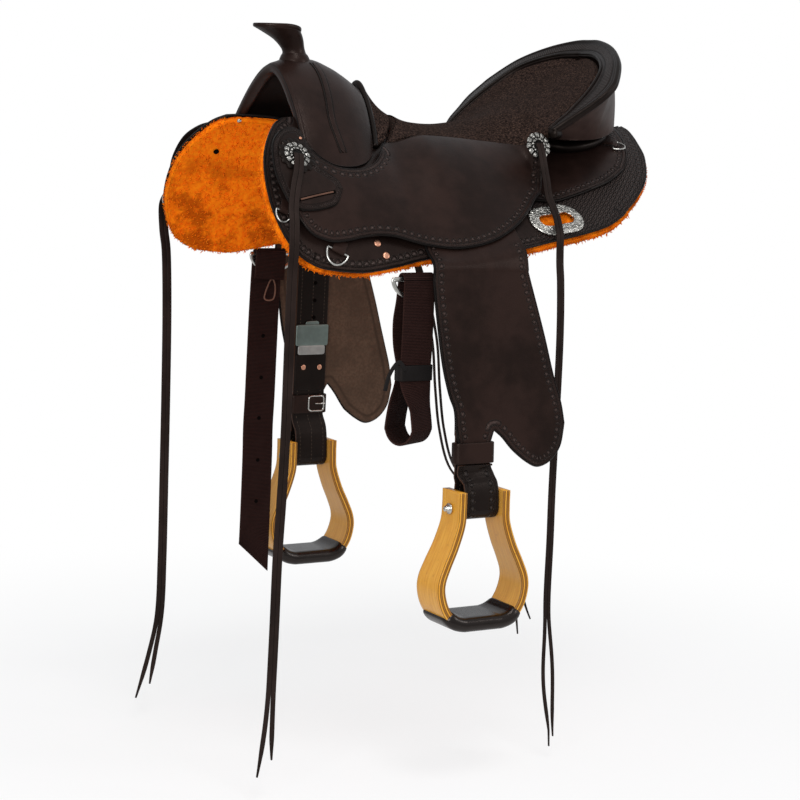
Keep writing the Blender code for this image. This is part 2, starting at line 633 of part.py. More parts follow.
REAR_HANG = [(.0943, .2215, -.1400), (.0972, .2215, -.1700), (.1022, .2180, -.2300), (.1047, .2150, -.3050),
             (.1068, .2090, -.4600), (.1082, .2075, -.5500), (.1080, .2070, -.6400), (.1125, .2070, -.7100),
             (.1175, .2070, -.7800), (.1260, .2070, -.8500)]
OFF_REAR_HANG = [(.1060, .2210, -.1400), (.1120, .2190, -.1700), (.1300, .2130, -.2300),
                 (.1460, .2070, -.3050), (.1520, .2030, -.3800), (.1620, .2010, -.4500),
                 (.1837, .2000, -.5123), (.2302, .2000, -.5536), (.2650, .2000, -.5830),
                 (.2880, .2000, -.6190), (.3060, .2000, -.6700), (.3200, .2000, -.7200),
                 (.3340, .2000, -.7700), (.3420, .2000, -.7950)]


def build_strings():
    """Each pair of strings is one long lace, folded at its concho with both halves hanging."""
    count = 26
    for label, side in SIDES:
        front = np.concatenate([back(*np.array(FRONT_DRAPE).T), FRONT_HANG if side < 0 else OFF_FRONT_HANG])
        drape, hang = (REAR_DRAPE, REAR_HANG) if side < 0 else (OFF_REAR_DRAPE, OFF_REAR_HANG)
        rear = np.concatenate([REAR_TOP, back(*np.array(drape).T), hang])
        for where, route in (("front", front), ("rear", rear)):
            lace = LACE_WIDTH[where]
            shift = (lace + .0008) / 2
            fine = even(route, 400)
            at = np.linspace(0, 1, count) ** 1.35
            path = np.stack([np.interp(at, np.linspace(0, 1, 400), fine[:, c]) for c in range(3)], -1)
            turns = np.linspace(math.pi, 0, 7)[1:-1]
            down = tangents(path)
            across = np.array([1.0, 0, 0]) - down * down[:, :1]
            across *= shift / np.linalg.norm(across, axis=1, keepdims=True)
            bend = [path[0] + across[0] * math.cos(t) - down[0] * math.sin(t) * shift for t in turns]
            left = path - across
            right = path + across
            if (label, where) == ("near", "rear"):       # its halves part and meet again
                gape = .0052 * np.sin(math.pi * np.clip((-.655 - path[:, 2]) / .20, 0, 1)) ** 2
                gape = gape[:, None] * [1.0, 0, 0]
                left, right = left - gape, right + gape
                left[-1, 2] -= .014
            else:
                tail = np.clip((at - .86) / .14, 0, 1)[:, None] ** 2
                left = left + tail * np.array([-.010, .0015, -.012])
                right = right + tail * np.array([.005, 0, .010])
            points = on_side(np.concatenate([left[::-1], bend, right]), side)
            out = np.cross(tangents(on_side(path, side)), [1.0, 0, 0])
            out *= np.sign((out * np.array([0, side, .3])).sum(1, keepdims=True))
            normals = np.concatenate([out[::-1], np.repeat(out[:1], 5, 0), out])
            width = np.full(len(points), lace)
            width[0] = width[-1] = .0022
            sections = ribbon_sections(points, normals, width, LACE_THICK)
            sweep(f"{label}_{where}_strings", sections, "leather")


def dee_loop(centre, along, down, width, drop, count=12):
    """A D shaped loop: a straight bar on top and a round bow below it."""
    turns = np.linspace(0, math.pi, count - 3)
    bow = [centre + along * math.cos(t) * width / 2 + down * math.sin(t) * drop for t in turns]
    bar = [centre - along * width / 4, centre, centre + along * width / 4]
    return np.array(bow + bar)


def dee_frame(where, side):
    """The bar's centre and direction, the way the ring hangs, and the way out of the leather."""
    place, tilt = DEES[where][:2]
    here, along, down, out = local_frame(*place, side)
    turn = math.radians(tilt)
    bar = along * math.cos(turn) + down * math.sin(turn)
    return here, bar, down * math.cos(turn) - along * math.sin(turn), out


def build_dees():
    for label, side in SIDES:
        for where, (place, tilt, width, drop, wire) in DEES.items():
            here, bar, hang, out = dee_frame(where, side)
            bent_wire(f"{label}_{where}_dee", dee_loop(here, bar, hang, width, drop), out, wire, "steel")


def fender_y(z):
    return FENDER_TOP_Y + FENDER_LEAN * (FENDER_TOP_Z - z)


FENDER_LEFT = [(-.1300, FENDER_TOP_Z), (-.1300, -.168), (-.1220, -.2266), (-.1130, -.280), (-.1020, -.320),
               (-.0930, -.3415), (-.0905, -.365)]
FENDER_RIGHT = [(.0260, FENDER_TOP_Z), (.036, -.180), (.0555, -.239), (.0725, -.296), (.0870, -.337),
                (.0935, -.367), (.0875, -.400), (.0710, -.421), (.0490, -.429), (.0290, -.421),
                (.0050, -.403), (-.0130, -.384), (-.0260, -.3735)]


def strap_x(z, label):
    """Centre line of the stirrup leather: it shifts back a little towards the stirrup."""
    t = np.clip((-.421 - np.asarray(z, float)) / .025, 0, 1)
    return STRAP_TOP_X[label] + (STIRRUP_X[label] - STRAP_TOP_X[label]) * t * t * (3 - 2 * t)


def neck_surface(cols, rows):
    """Inner face of the flap between the skirt and the fender: out from under the jockey, then down."""
    jockey_x, jockey_s = np.array(JOCKEY_LOW[9:]).T
    lines = []
    for x in np.linspace(-.128, .024, cols):
        edge = np.interp(x, jockey_x, jockey_s)
        start = back(np.full(2, x), np.array([edge - .026, edge - .010]), .0064)
        bend = back(x, edge + .008, .0066)
        end_y = FENDER_TOP_Y - FENDER_THICK / 2
        middle = [x, bend[1] + (end_y - bend[1]) * .75, bend[2] + (FENDER_TOP_Z - bend[2]) * .42]
        lines.append(even([start[0], start[1], bend, middle, (x, end_y, FENDER_TOP_Z + .0006)], rows))
    return np.stack(lines)


def build_fenders():
    left = even(FENDER_LEFT, 9)
    right = even(FENDER_RIGHT, 21)
    half = STRAP_WIDTH / 2 - .001
    foot_z = -.424
    for label, side in SIDES:
        edges = []
        for edge in (left, right[::-1]):
            drop = FENDER_DROP[label] * np.clip((-.300 - edge[:, 1]) / .060, 0, 1)
            drop *= np.clip(np.abs(edge[:, 0] + .058) / .032 - 1, 0, 1)
            edges.append([(x, z) for x, z in edge - np.stack([0 * drop, drop], -1)])
        strap = [(strap_x(z, label) - half, z) for z in (-.388, -.405, foot_z)]
        back_strap = [(strap_x(z, label) + half, z) for z in (foot_z, -.405, -.390)]
        outline = edges[0] + strap + back_strap + edges[1]
        faces = []
        verts = []
        for depth in (-FENDER_THICK / 2, FENDER_THICK / 2):
            verts += [(x, side * (fender_y(z) + depth), z) for x, z in outline]
        count = len(outline)
        faces.append(tuple(range(count)))
        faces.append(tuple(range(2 * count - 1, count - 1, -1)))
        faces += [(i, (i + 1) % count, count + (i + 1) % count, count + i) for i in range(count)]
        make_object(f"{label}_fender", verts, faces, "leather")
        inner = on_side(neck_surface(7, 7), side)
        outer = offset(inner, np.full(inner.shape[:2], .0040), (0, side, .3))
        grid_solid(f"{label}_fender_neck", outer, inner, "leather")


def leather_path(label):
    """Side view of the stirrup leather: down inside, round the roller, up outside."""
    low = BOLT_Z[label]
    bend_r = ROLLER_R + .0008 + STRAP_THICK / 2
    inner_gap = FENDER_THICK / 2 + STRAP_THICK / 2 + .0010
    high = [(fender_y(z) - inner_gap, z) for z in (-.165, -.225, -.285, -.345, -.380, -.400, -.4225)]
    turns = np.linspace(math.pi * .98, 2 * math.pi, 13)
    round_bolt = [(STIRRUP_Y + bend_r * math.cos(t), low + bend_r * math.sin(t)) for t in turns]
    down = [(STIRRUP_Y - .0105, low + .046), (STIRRUP_Y - .0130, low + .0355), (STIRRUP_Y - .0143, low + .024)]
    up = [(STIRRUP_Y + .0136, low + .020), (STIRRUP_Y + .0100, low + .0335), (STIRRUP_Y + .0045, low + .0415),
          (fender_y(-.434), -.4325)]
    return np.array(high + down + round_bolt + up)


def build_stirrup_leathers():
    for label, side in SIDES:
        line = np.array([(0, y, z) for y, z in leather_path(label)])
        path = on_side(line, side)
        path[:, 0] = strap_x(path[:, 2], label)
        normals = np.cross(tangents(on_side(line, side)), [1.0, 0, 0])
        sections = ribbon_sections(path, normals, STRAP_WIDTH, STRAP_THICK)
        sweep(f"{label}_stirrup_leather", sections, "leather")


def sleeve(name, centre, across, along, inner, wall, length, material, corner=.0025):
    """A short flat tube: a rounded rectangle wall drawn along one direction."""
    out = np.cross(across, along)
    rows = []
    corners = ((1, 1, 0), (1, 1, 1), (-1, 1, 1), (-1, 1, 0), (-1, -1, 0), (-1, -1, 1), (1, -1, 1), (1, -1, 0))
    for a, b, c in corners:
        flip = (0, 1) if c else (1, 0)
        in_x, in_y = a * inner[0] / 2, b * inner[1] / 2
        out_x = a * (inner[0] / 2 + wall * flip[0] + (wall - corner) * flip[1])
        out_y = b * (inner[1] / 2 + wall * flip[1] + (wall - corner) * flip[0])
        near = centre + across * in_x + out * in_y
        far = centre + across * out_x + out * out_y
        rows.append([near - along * length / 2, far - along * length / 2,
                     far + along * length / 2, near + along * length / 2])
    return sweep(name, np.array(rows), material, ring=True)


def build_hobbles():
    z = -.4030
    for label, side in SIDES:
        slope = np.array([0, side * FENDER_LEAN, -1.0])
        slope /= np.linalg.norm(slope)
        centre = np.array([float(strap_x(z, label)), side * (fender_y(z) - .0027), z])
        thick = FENDER_THICK + STRAP_THICK + .0010
        sleeve(f"{label}_hobble_strap", centre, np.array([1.0, 0, 0]), slope,
               (STRAP_WIDTH + .0022, thick + .0030), .0032, .030, "leather")


def build_buckle_plates():
    """Two steel plates that clamp the stirrup leather's holes, on its inner face."""
    for label, side in SIDES:
        z = -.292
        y = fender_y(z) - FENDER_THICK / 2 - STRAP_THICK - .0010 - .0006
        slope = FENDER_LEAN
        verts = []
        for depth in (0.0, -.0030):
            for dx, dz in ((-.029, -.018), (.029, -.018), (.029, .018), (-.029, .018)):
                verts.append((STRAP_TOP_X[label] + dx, side * (y + depth - slope * dz), z + dz))
        faces = [(0, 1, 2, 3), (7, 6, 5, 4), (0, 4, 5, 1), (1, 5, 6, 2), (2, 6, 7, 3), (3, 7, 4, 0)]
        make_object(f"{label}_buckle_plate", verts, faces, "steel")


# Half of the stirrup, from its neck to the middle of the tread: (half width outside, z, depth)
STIRRUP_HALF = [(.0415, -.455, .050), (.0415, -.478, .050), (.0430, -.500, .051), (.0530, -.530, .053),
                (.0650, -.556, .056), (.0735, -.578, .059), (.0745, -.598, .062), (.0670, -.622, .065),
                (.0520, -.6405, .066), (.0300, -.6480, .066), (0, -.6480, .066)]
PLY = 0.0120
TREAD_WALL = 0.0045


def stirrup_line(count):
    half = np.array([(-w, z, d) for w, z, d in STIRRUP_HALF])
    line = even(np.concatenate([half, half[-2::-1] * [-1, 1, 1]]), count)
    line[:, 1] = np.maximum(line[:, 1], half[-1, 1])         # flat under the tread
    return line


def stirrup_sections(line, label, side, grow, thick):
    """Sections across the bent wood, outer face first, wider by grow on each side."""
    drop = BOLT_Z["near"] - BOLT_Z[label]
    flat = line * [1, 1, 0]
    along = tangents(flat)
    inward = np.stack([-along[:, 1], along[:, 0], 0 * along[:, 0]], -1)
    inward *= np.sign((inward * (np.array([0, -.56, 0]) - flat)).sum(1, keepdims=True))
    rows = []
    for depth, share in ((-1, -grow), (1, -grow), (1, thick + grow), (-1, thick + grow)):
        place = line + inward * share
        rows.append(np.stack([STIRRUP_X[label] + place[:, 0],
                              side * STIRRUP_Y + depth * (line[:, 2] / 2 + grow),
                              place[:, 1] - drop], -1))
    return np.stack(rows, 1)


def build_stirrups():
    line = stirrup_line(38)
    keep = slice(15, 23)
    for label, side in SIDES:
        wood = sweep(f"{label}_stirrup", stirrup_sections(line, label, side, 0, PLY), "wood")
        bore = cylinder(f"{label}_bolt_bore", .0046, .12, label, side)
        cut(wood, bore)
        outer = stirrup_sections(line, label, side, TREAD_WALL, PLY)[keep]
        inner = stirrup_sections(line, label, side, GAP, PLY)[keep]
        rows, cols = outer.shape[:2]
        verts = np.concatenate([outer.reshape(-1, 3), inner.reshape(-1, 3)])
        base = rows * cols
        faces = []
        for i in range(rows - 1):
            for j in range(cols):
                k = (j + 1) % cols
                a, b = i * cols, (i + 1) * cols
                faces.append((a + j, a + k, b + k, b + j))
                faces.append((base + a + j, base + b + j, base + b + k, base + a + k))
        for j in range(cols):
            k = (j + 1) % cols
            end = (rows - 1) * cols
            faces.append((j, base + j, base + k, k))
            faces.append((end + j, end + k, base + end + k, base + end + j))
        make_object(f"{label}_stirrup_tread", verts, faces, "black_leather")
        build_bolt(label, side)


def bolt_rings(profile, label, side):
    """Rings about the stirrup's bolt, one for each (x, radius) of the profile."""
    turn = np.arange(12) * math.pi / 6
    middle = (STIRRUP_X[label], side * STIRRUP_Y, BOLT_Z[label])
    return np.array([[(middle[0] + x, middle[1] + r * math.cos(t), middle[2] + r * math.sin(t)) for t in turn]
                     for x, r in profile])


def cylinder(name, radius, length, label, side):
    rows = bolt_rings([(-length / 2, radius), (length / 2, radius)], label, side)
    return sweep(name, np.array(rows), "steel")


def build_bolt(label, side):
    """Bolt, roller and nut turned as one piece along X; the off one points the other way."""
    face = .0428 + GAP
    profile = [(-face - .0090, .0030), (-face - .0085, .0044), (-face - .0055, .0046), (-face - .0050, .0070),
               (-face, .0072), (-face + .0001, BOLT_R), (-.0281, BOLT_R), (-.0280, ROLLER_R),
               (.0280, ROLLER_R), (.0281, BOLT_R), (face - .0001, BOLT_R), (face, .0078), (face + .0040, .0070)]
    profile = [(x * -side, r) for x, r in profile]
    sweep(f"{label}_stirrup_bolt", bolt_rings(profile, label, side), "steel")


def build_rigging():
    across = np.array([1.0, 0, 0])
    down = np.array([0, 0, -1.0])
    for label, side in SIDES:
        centre = np.array([RIG_X, side * RIG_Y, RIG_Z])
        loop = dee_loop(centre, across, down, .074, .026, 18)
        bent_wire(f"{label}_cinch_ring", loop, (0, 1.0, 0), .0024, "steel")
    build_latigo()
    build_billet()


def build_latigo():
    """Webbing latigo: one band round the ring's bar and down to a round fold."""
    half = .0080
    turns = np.linspace(0, math.pi, 7)
    top = [(RIG_Y + half * math.cos(t), RIG_Z + half * math.sin(t) * .95) for t in turns]
    inside = [(.2160, -.200), (.2172, -.255), (.2195, -.2800), (.2195, -.3000), (.2130, -.3300)]
    turns = np.linspace(math.pi, 2 * math.pi, 9)[1:-1]
    fold = [(.2222 + .0158 * math.cos(t), -.3700 + .0210 * math.sin(t)) for t in turns]
    outside = [(.2340, -.3300), (.2275, -.3000), (.2275, -.2800), (.2298, -.255), (.2310, -.200)]
    points = np.array([(RIG_X, -y, z) for y, z in top + inside + fold + outside])
    normals = np.cross(tangents(points, ring=True), [1.0, 0, 0])
    sections = ribbon_sections(points, normals, WEB_WIDTH, WEB_THICK, ring=True)
    sweep("near_latigo", sections, "webbing", ring=True)
    sleeve("near_latigo_band", np.array([RIG_X, -.2235, -.2900]), np.array([1.0, 0, 0]), np.array([0, 0, -1.0]),
           (WEB_WIDTH + .0012, .0080 + WEB_THICK + .0016), .0022, .022, "rubber", corner=.0010)


def build_billet():
    """Off billet: a flat strap folded over the ring's bar, its end cut at a slant."""
    half = .0062
    turns = np.linspace(0, math.pi, 7)
    top = [(RIG_Y - half * math.cos(t), RIG_Z + half * math.sin(t)) for t in turns]
    tail = [(RIG_Y - half, RIG_Z - .040), (RIG_Y - half, RIG_Z - .020)]
    down = [(.2297, -.190), (.2272, -.250), (.2225, -.320), (.2160, -.385), (.2125, -.430), (.2105, -.480),
            (.2100, -.560), (.2100, -.639)]
    points = np.array([(np.interp(z, [-.639, -.43, -.33, -.16], [-.1712, -.1675, -.1600, -.1500]), y, z)
                       for y, z in tail + top + down])
    normals = np.cross(tangents(points * [0, 1, 1]), [1.0, 0, 0])
    sections = ribbon_sections(points, normals, .051, .0042)
    slant = sections[-1, :, 0] - points[-1, 0]
    sections[-1, :, 2] -= slant * .91
    sweep("off_billet", sections, "leather")


def pivots():
    """Each moving piece and the point of its joint, for its origin."""
    found = {}
    for label, side in SIDES:
        swing = (PIVOT_X, side * PIVOT_Y, PIVOT_Z)
        for name in ("fender_neck", "fender", "stirrup_leather", "hobble_strap", "buckle_plate"):
            found[f"{label}_{name}"] = swing
        for name in ("stirrup", "stirrup_tread", "stirrup_bolt"):
            found[f"{label}_{name}"] = (STIRRUP_X[label], side * STIRRUP_Y, BOLT_Z[label])
        for where in DEES:
            found[f"{label}_{where}_dee"] = tuple(dee_frame(where, side)[0])
    for name in ("near_cinch_ring", "near_latigo", "near_latigo_band"):
        found[name] = (RIG_X, -RIG_Y, RIG_Z)
    for name in ("off_cinch_ring", "off_billet"):
        found[name] = (RIG_X, RIG_Y, RIG_Z)
    return found


def place_origins():
    for name, point in pivots().items():
        item = bpy.data.objects[name]
        item.data.transform(Matrix.Translation(-Vector(point)))
        item.location = point


clear_scene()
MATERIALS = {name: make_material(name, *values) for name, values in FINISHES.items()}
build_panels()
build_slot_plates()
build_seat()
build_jockeys()
build_lip()
build_horn(build_fork())
build_cantle()
build_conchos()
build_strings()
build_dees()
build_fenders()
build_stirrup_leathers()
build_hobbles()
build_buckle_plates()
build_stirrups()
build_rigging()
place_origins()
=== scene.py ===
import math

import bmesh
import bpy
import numpy as np
from mathutils import Matrix, Vector
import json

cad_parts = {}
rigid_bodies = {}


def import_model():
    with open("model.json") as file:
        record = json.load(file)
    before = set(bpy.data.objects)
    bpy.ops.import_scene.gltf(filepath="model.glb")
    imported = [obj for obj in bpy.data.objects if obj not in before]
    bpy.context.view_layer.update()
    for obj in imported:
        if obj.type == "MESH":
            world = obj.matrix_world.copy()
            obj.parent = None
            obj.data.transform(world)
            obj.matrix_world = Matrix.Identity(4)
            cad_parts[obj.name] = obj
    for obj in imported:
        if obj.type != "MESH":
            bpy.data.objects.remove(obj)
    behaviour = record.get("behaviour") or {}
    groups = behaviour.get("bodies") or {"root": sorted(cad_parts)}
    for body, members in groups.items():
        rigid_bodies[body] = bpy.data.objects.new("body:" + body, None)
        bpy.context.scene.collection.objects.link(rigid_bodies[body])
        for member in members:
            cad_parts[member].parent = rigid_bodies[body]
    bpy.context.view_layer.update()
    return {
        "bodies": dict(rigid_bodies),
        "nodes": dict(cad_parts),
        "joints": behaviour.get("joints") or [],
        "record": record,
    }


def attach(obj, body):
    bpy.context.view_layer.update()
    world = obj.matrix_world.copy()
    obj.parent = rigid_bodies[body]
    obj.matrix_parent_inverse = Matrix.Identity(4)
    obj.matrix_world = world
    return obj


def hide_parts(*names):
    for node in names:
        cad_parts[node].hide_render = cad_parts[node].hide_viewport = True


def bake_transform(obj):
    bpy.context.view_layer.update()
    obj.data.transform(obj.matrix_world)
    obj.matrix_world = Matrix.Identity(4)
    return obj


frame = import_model()
sides = (("near", -1.0), ("off", 1.0))
rng = np.random.default_rng(7)


# curves and the horse's back

def cubic(a, b, slopeA, slopeB, t):
    # from a to b as t runs from 0 to 1, with a slope at each end
    return (a * (1 + 2 * t) * (1 - t) ** 2 + slopeA * t * (1 - t) ** 2
            + b * (3 - 2 * t) * t * t - slopeB * t * t * (1 - t))


def smoothLine(knots):
    # cubic pieces through (place, value) knots, with the slope of each knot's neighbours
    places, values = np.array(knots, float).T
    slopes = np.gradient(values, places)

    def value(at):
        at = np.clip(np.asarray(at, float), places[0], places[-1])
        i = np.clip(np.searchsorted(places, at) - 1, 0, len(places) - 2)
        span = places[i + 1] - places[i]
        t = (at - places[i]) / span
        return cubic(values[i], values[i + 1], slopes[i] * span, slopes[i + 1] * span, t)

    return value


def spline(points, count):
    points = np.asarray(points, float)
    at = np.linspace(0, len(points) - 1, count)
    return np.stack([smoothLine(list(enumerate(column)))(at) for column in points.T], -1)


def runLength(points):
    return np.concatenate([[0], np.cumsum(np.linalg.norm(np.diff(points, axis=0), axis=1))])


def atSteps(fine, count, closed=False):
    # the same curve at equal steps of its length
    run = runLength(fine)
    at = np.linspace(0, run[-1], count, endpoint=not closed)
    return np.stack([np.interp(at, run, column) for column in fine.T], -1)


def even(points, count):
    return atSteps(spline(points, 40 * len(points)), count)


def evenRing(points, count):
    # a closed curve: the middle one of three rounds
    points = np.asarray(points, float)
    fine = spline(np.concatenate([points, points, points, points[:1]]), (len(points) * 3 + 1) * 40)
    return atSteps(fine[len(fine) // 3: 2 * len(fine) // 3 + 1], count, closed=True)


backShape = dict(
    half=[(-.38, .07), (-.285, .066), (-.15, .05), (0, .037), (.2, .035), (.37, .035)],
    rise=[(-.38, .076), (-.285, .07), (-.15, .04), (0, .01), (.14, .004), (.26, .018), (.36, .042)],
    topSlope=[(-.38, 38), (-.285, 38), (-.15, 31), (0, 23), (.37, 22)],
    lowSlope=[(-.38, 74), (-.285, 72), (-.15, 61), (0, 50), (.15, 48), (.37, 46)],
    sideLength=.28)
channelHalf, channelRise, topSlope, lowSlope = [smoothLine(backShape[key])
                                                for key in ("half", "rise", "topSlope", "lowSlope")]


def slopeAt(x, s):
    first, last = topSlope(x), lowSlope(x)
    return np.radians(first + (last - first) * np.clip(s / backShape["sideLength"], 0, 1.3) ** 0.8)


def back(x, s, h=0.0):
    # from the spine channel's edge, the slope is summed down the side over the distance s;
    # h stands off it along its normal; y is positive
    x, s, h = np.broadcast_arrays(*[np.asarray(v, float) for v in (x, s, h)])
    steps = np.linspace(0, 1, 33).reshape((33,) + (1,) * x.ndim)
    angle = slopeAt(x, s * steps)
    across = (np.cos(angle)[1:] + np.cos(angle)[:-1]).mean(0) / 2
    down = (np.sin(angle)[1:] + np.sin(angle)[:-1]).mean(0) / 2
    end = slopeAt(x, s)
    return np.stack([x, channelHalf(x) + s * across + h * np.sin(end),
                     channelRise(x) - s * down + h * np.cos(end)], -1)


def overBack(knots, *height):
    return back(*np.array(knots).T, *height)


def sideDistance(x, y, h):
    s = np.linspace(0, .26, 60)
    return float(np.interp(abs(y), back(np.full_like(s, x), s, np.full_like(s, h))[:, 1], s))


alongX, alongY, alongZ = np.eye(3)


def onSide(points, side):
    return np.asarray(points, float) * np.array([1.0, side, 1.0])


def unit(v):
    return v / np.maximum(np.linalg.norm(v, axis=-1, keepdims=True), 1e-12)


def localFrame(x, s, h, side):
    # a point over the back, with the directions along x, down the side, and outward
    step = .002
    here = onSide(back(x, s, h), side)
    along = unit(onSide(back(x + step, s, h), side) - onSide(back(x - step, s, h), side))
    down = onSide(back(x, s + step, h), side) - onSide(back(x, s - step, h), side)
    down = unit(down - along * down.dot(along))
    out = np.cross(along, down)
    return here, along, down, out * np.sign(out[2] + out[1] * side)


def turnedFrame(place, degrees, side):
    # the same, turned about the outward direction
    here, along, down, out = localFrame(*place, side)
    angle = math.radians(degrees)
    return (here, along * math.cos(angle) + down * math.sin(angle),
            down * math.cos(angle) - along * math.sin(angle), out)


def facing(grid, way):
    # a grid's normals, on the side that way points to
    normal = unit(np.cross(np.gradient(grid, axis=0), np.gradient(grid, axis=1)))
    return normal * np.sign((normal * np.array(way)).sum(-1, keepdims=True))


def outward(normals, path, middle):
    # a loop's normals, all turned away from its middle
    return normals * np.sign((normals * (path - middle)).sum(-1).mean())


def smooth(t):
    t = np.clip(t, 0, 1)
    return t * t * (3 - 2 * t)


def shareAcross(count):
    return np.linspace(0, 1, count)[None, :, None]


def coons(top, bottom, left, right):
    # the two ruled surfaces between opposite edges, less the one through the four corners
    u = np.linspace(0, 1, len(top))[:, None, None]
    v = shareAcross(len(left))
    ruled = (1 - v) * top[:, None] + v * bottom[:, None] + (1 - u) * left[None] + u * right[None]
    corners = (1 - u) * ((1 - v) * top[0] + v * bottom[0]) + u * ((1 - v) * top[-1] + v * bottom[-1])
    return ruled - corners


def roundAngles(count):
    return np.arange(count) * 2 * math.pi / count


def tangents(points, ring=False):
    if ring:
        return unit(np.roll(points, -1, axis=0) - np.roll(points, 1, axis=0))
    return unit(np.gradient(points, axis=0))


def lumps(points, size, seed=0):
    # smooth random values from -1 to 1: hashed values at the corners of a lattice of that size,
    # blended by smooth steps between them
    place = np.asarray(points, float) / size
    base = np.floor(place).astype(np.int64)
    share = place - base
    share = share * share * (3 - 2 * share)
    total = np.zeros(place.shape[:-1])
    for corner in np.ndindex(2, 2, 2):
        mixed = (base + corner) @ np.array([73856093, 19349663, 83492791]) + seed * 2654435
        mixed = (mixed ^ (mixed >> 13)) * 1274126177 & 0x7fffffff
        mixed = mixed ^ (mixed >> 15)
        weight = np.where(np.array(corner) == 1, share, 1 - share).prod(-1)
        total += ((mixed & 0xffff) / 32767.5 - 1) * weight
    return total


# meshes

def makePiece(name, points, quads, finish, data=None, close=False, body="saddle", node=None,
              slot="leather"):
    mesh = bpy.data.meshes.new(name)
    used, renamed = np.unique(quads, return_inverse=True)
    points = np.ascontiguousarray(points[used], np.float32)
    quads = np.ascontiguousarray(renamed.reshape(quads.shape), np.int32)
    mesh.vertices.add(len(points))
    mesh.vertices.foreach_set("co", points.ravel())
    mesh.loops.add(quads.size)
    mesh.loops.foreach_set("vertex_index", quads.ravel())
    mesh.polygons.add(len(quads))
    mesh.polygons.foreach_set("loop_start", np.arange(len(quads), dtype=np.int32) * quads.shape[1])
    mesh.polygons.foreach_set("use_smooth", np.ones(len(quads), bool))
    mesh.update(calc_edges=True)
    for key, values in (data or {}).items():
        layer = mesh.attributes.new(key, "FLOAT_VECTOR", "POINT")
        layer.data.foreach_set("vector", np.ascontiguousarray(values[used], np.float32).ravel())
    if close:
        shape = bmesh.new()
        shape.from_mesh(mesh)
        bmesh.ops.remove_doubles(shape, verts=shape.verts, dist=2e-6)
        bmesh.ops.recalc_face_normals(shape, faces=shape.faces)
        shape.to_mesh(mesh)
        shape.free()
        mesh.shade_smooth()
    piece = bpy.data.objects.new(name, mesh)
    mesh.materials.append(finish)
    bpy.context.collection.objects.link(piece)
    if body:
        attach(piece, body)
    if node:
        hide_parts(node)
    return piece


def gridQuads(rows, cols, ringRows=False, ringCols=False):
    i = np.arange(rows if ringRows else rows - 1)[:, None]
    j = np.arange(cols if ringCols else cols - 1)[None, :]
    k, m = (i + 1) % rows, (j + 1) % cols
    return np.stack([i * cols + j, k * cols + j, k * cols + m, i * cols + m], -1).reshape(-1, 4)


def vertexNormals(points, quads):
    corners = points[quads]
    face = np.cross(corners[:, 2] - corners[:, 0], corners[:, 3] - corners[:, 1])
    total = np.zeros_like(points)
    for corner in range(4):
        np.add.at(total, quads[:, corner], face)
    return unit(total)


def shell(name, points, quads, thick, out, finish, data=None, steps=4, bulge=.5, **keep):
    # A closed sheet: the surface moved half its thickness both ways along its normals, with its
    # free edges drawn in and joined by half rounds: edge + away * r * cos t + normal * thick / 2 * sin t
    points = np.asarray(points, float)
    normal = vertexNormals(points, quads)
    if (normal * out).sum(-1).mean() < 0:
        quads, normal = quads[:, ::-1], -normal
    half = np.broadcast_to(np.asarray(thick, float) / 2, len(points))[:, None]
    count = len(points)
    starts, ends = quads.ravel(), np.roll(quads, -1, axis=1).ravel()
    free = ~np.isin(starts.astype(np.int64) * count + ends, ends.astype(np.int64) * count + starts)
    starts, ends = starts[free], ends[free]
    after, before = np.full(count, -1), np.full(count, -1)
    after[starts], before[ends] = ends, starts
    edge = np.flatnonzero(after >= 0)
    away = unit(np.cross(points[after[edge]] - points[before[edge]], normal[edge]))
    reach = half[edge] * 2 * bulge
    inset = points.copy()
    inset[edge] -= away * reach
    parts = [inset + normal * half]
    slot = np.full(count, -1)
    slot[edge] = np.arange(len(edge))
    turns = np.linspace(math.pi / 2, -math.pi / 2, steps + 1)[1:-1]
    for t in turns:
        parts.append(inset[edge] + away * reach * math.cos(t) + normal[edge] * half[edge] * math.sin(t))
    parts.append(inset - normal * half)
    faces = [quads]
    levels = [lambda i: i] + [lambda i, k=k: count + k * len(edge) + slot[i] for k in range(len(turns))]
    levels.append(lambda i: count + len(turns) * len(edge) + i)
    for high, low in zip(levels[:-1], levels[1:]):
        faces.append(np.stack([high(ends), high(starts), low(starts), low(ends)], -1)[:, ::-1])
    faces.append(levels[-1](quads[:, ::-1]))
    allData = {}
    for key, values in (data or {}).items():
        values = np.asarray(values, float).reshape(count, 3)
        allData[key] = np.concatenate([values] + [values[edge]] * len(turns) + [values])
    rim = np.zeros((count, 3))
    rim[edge, 0] = .7
    wall = np.ones((len(edge) * len(turns), 3))
    below = np.zeros((count, 3))
    below[:, 1] = 1
    below[edge, 0] = .7
    allData["edge"] = np.concatenate([rim, wall, below])
    return makePiece(name, np.concatenate(parts), np.concatenate(faces), finish, allData, **keep)


def sheetGrid(name, grid, thick, out, finish, data=None, **keep):
    rows, cols = grid.shape[:2]
    data = {key: np.asarray(values).reshape(-1, 3) for key, values in (data or {}).items()}
    if np.ndim(thick) == 2:
        thick = np.asarray(thick).ravel()
    return shell(name, grid.reshape(-1, 3), gridQuads(rows, cols), thick, out, finish, data, **keep)


def pad(name, top, low, out, finish, data=None, **keep):
    # a sheet whose thickness is the gap between two grids
    thick = np.linalg.norm(top - low, axis=-1)
    return sheetGrid(name, (top + low) / 2, thick, out, finish, data, **keep)


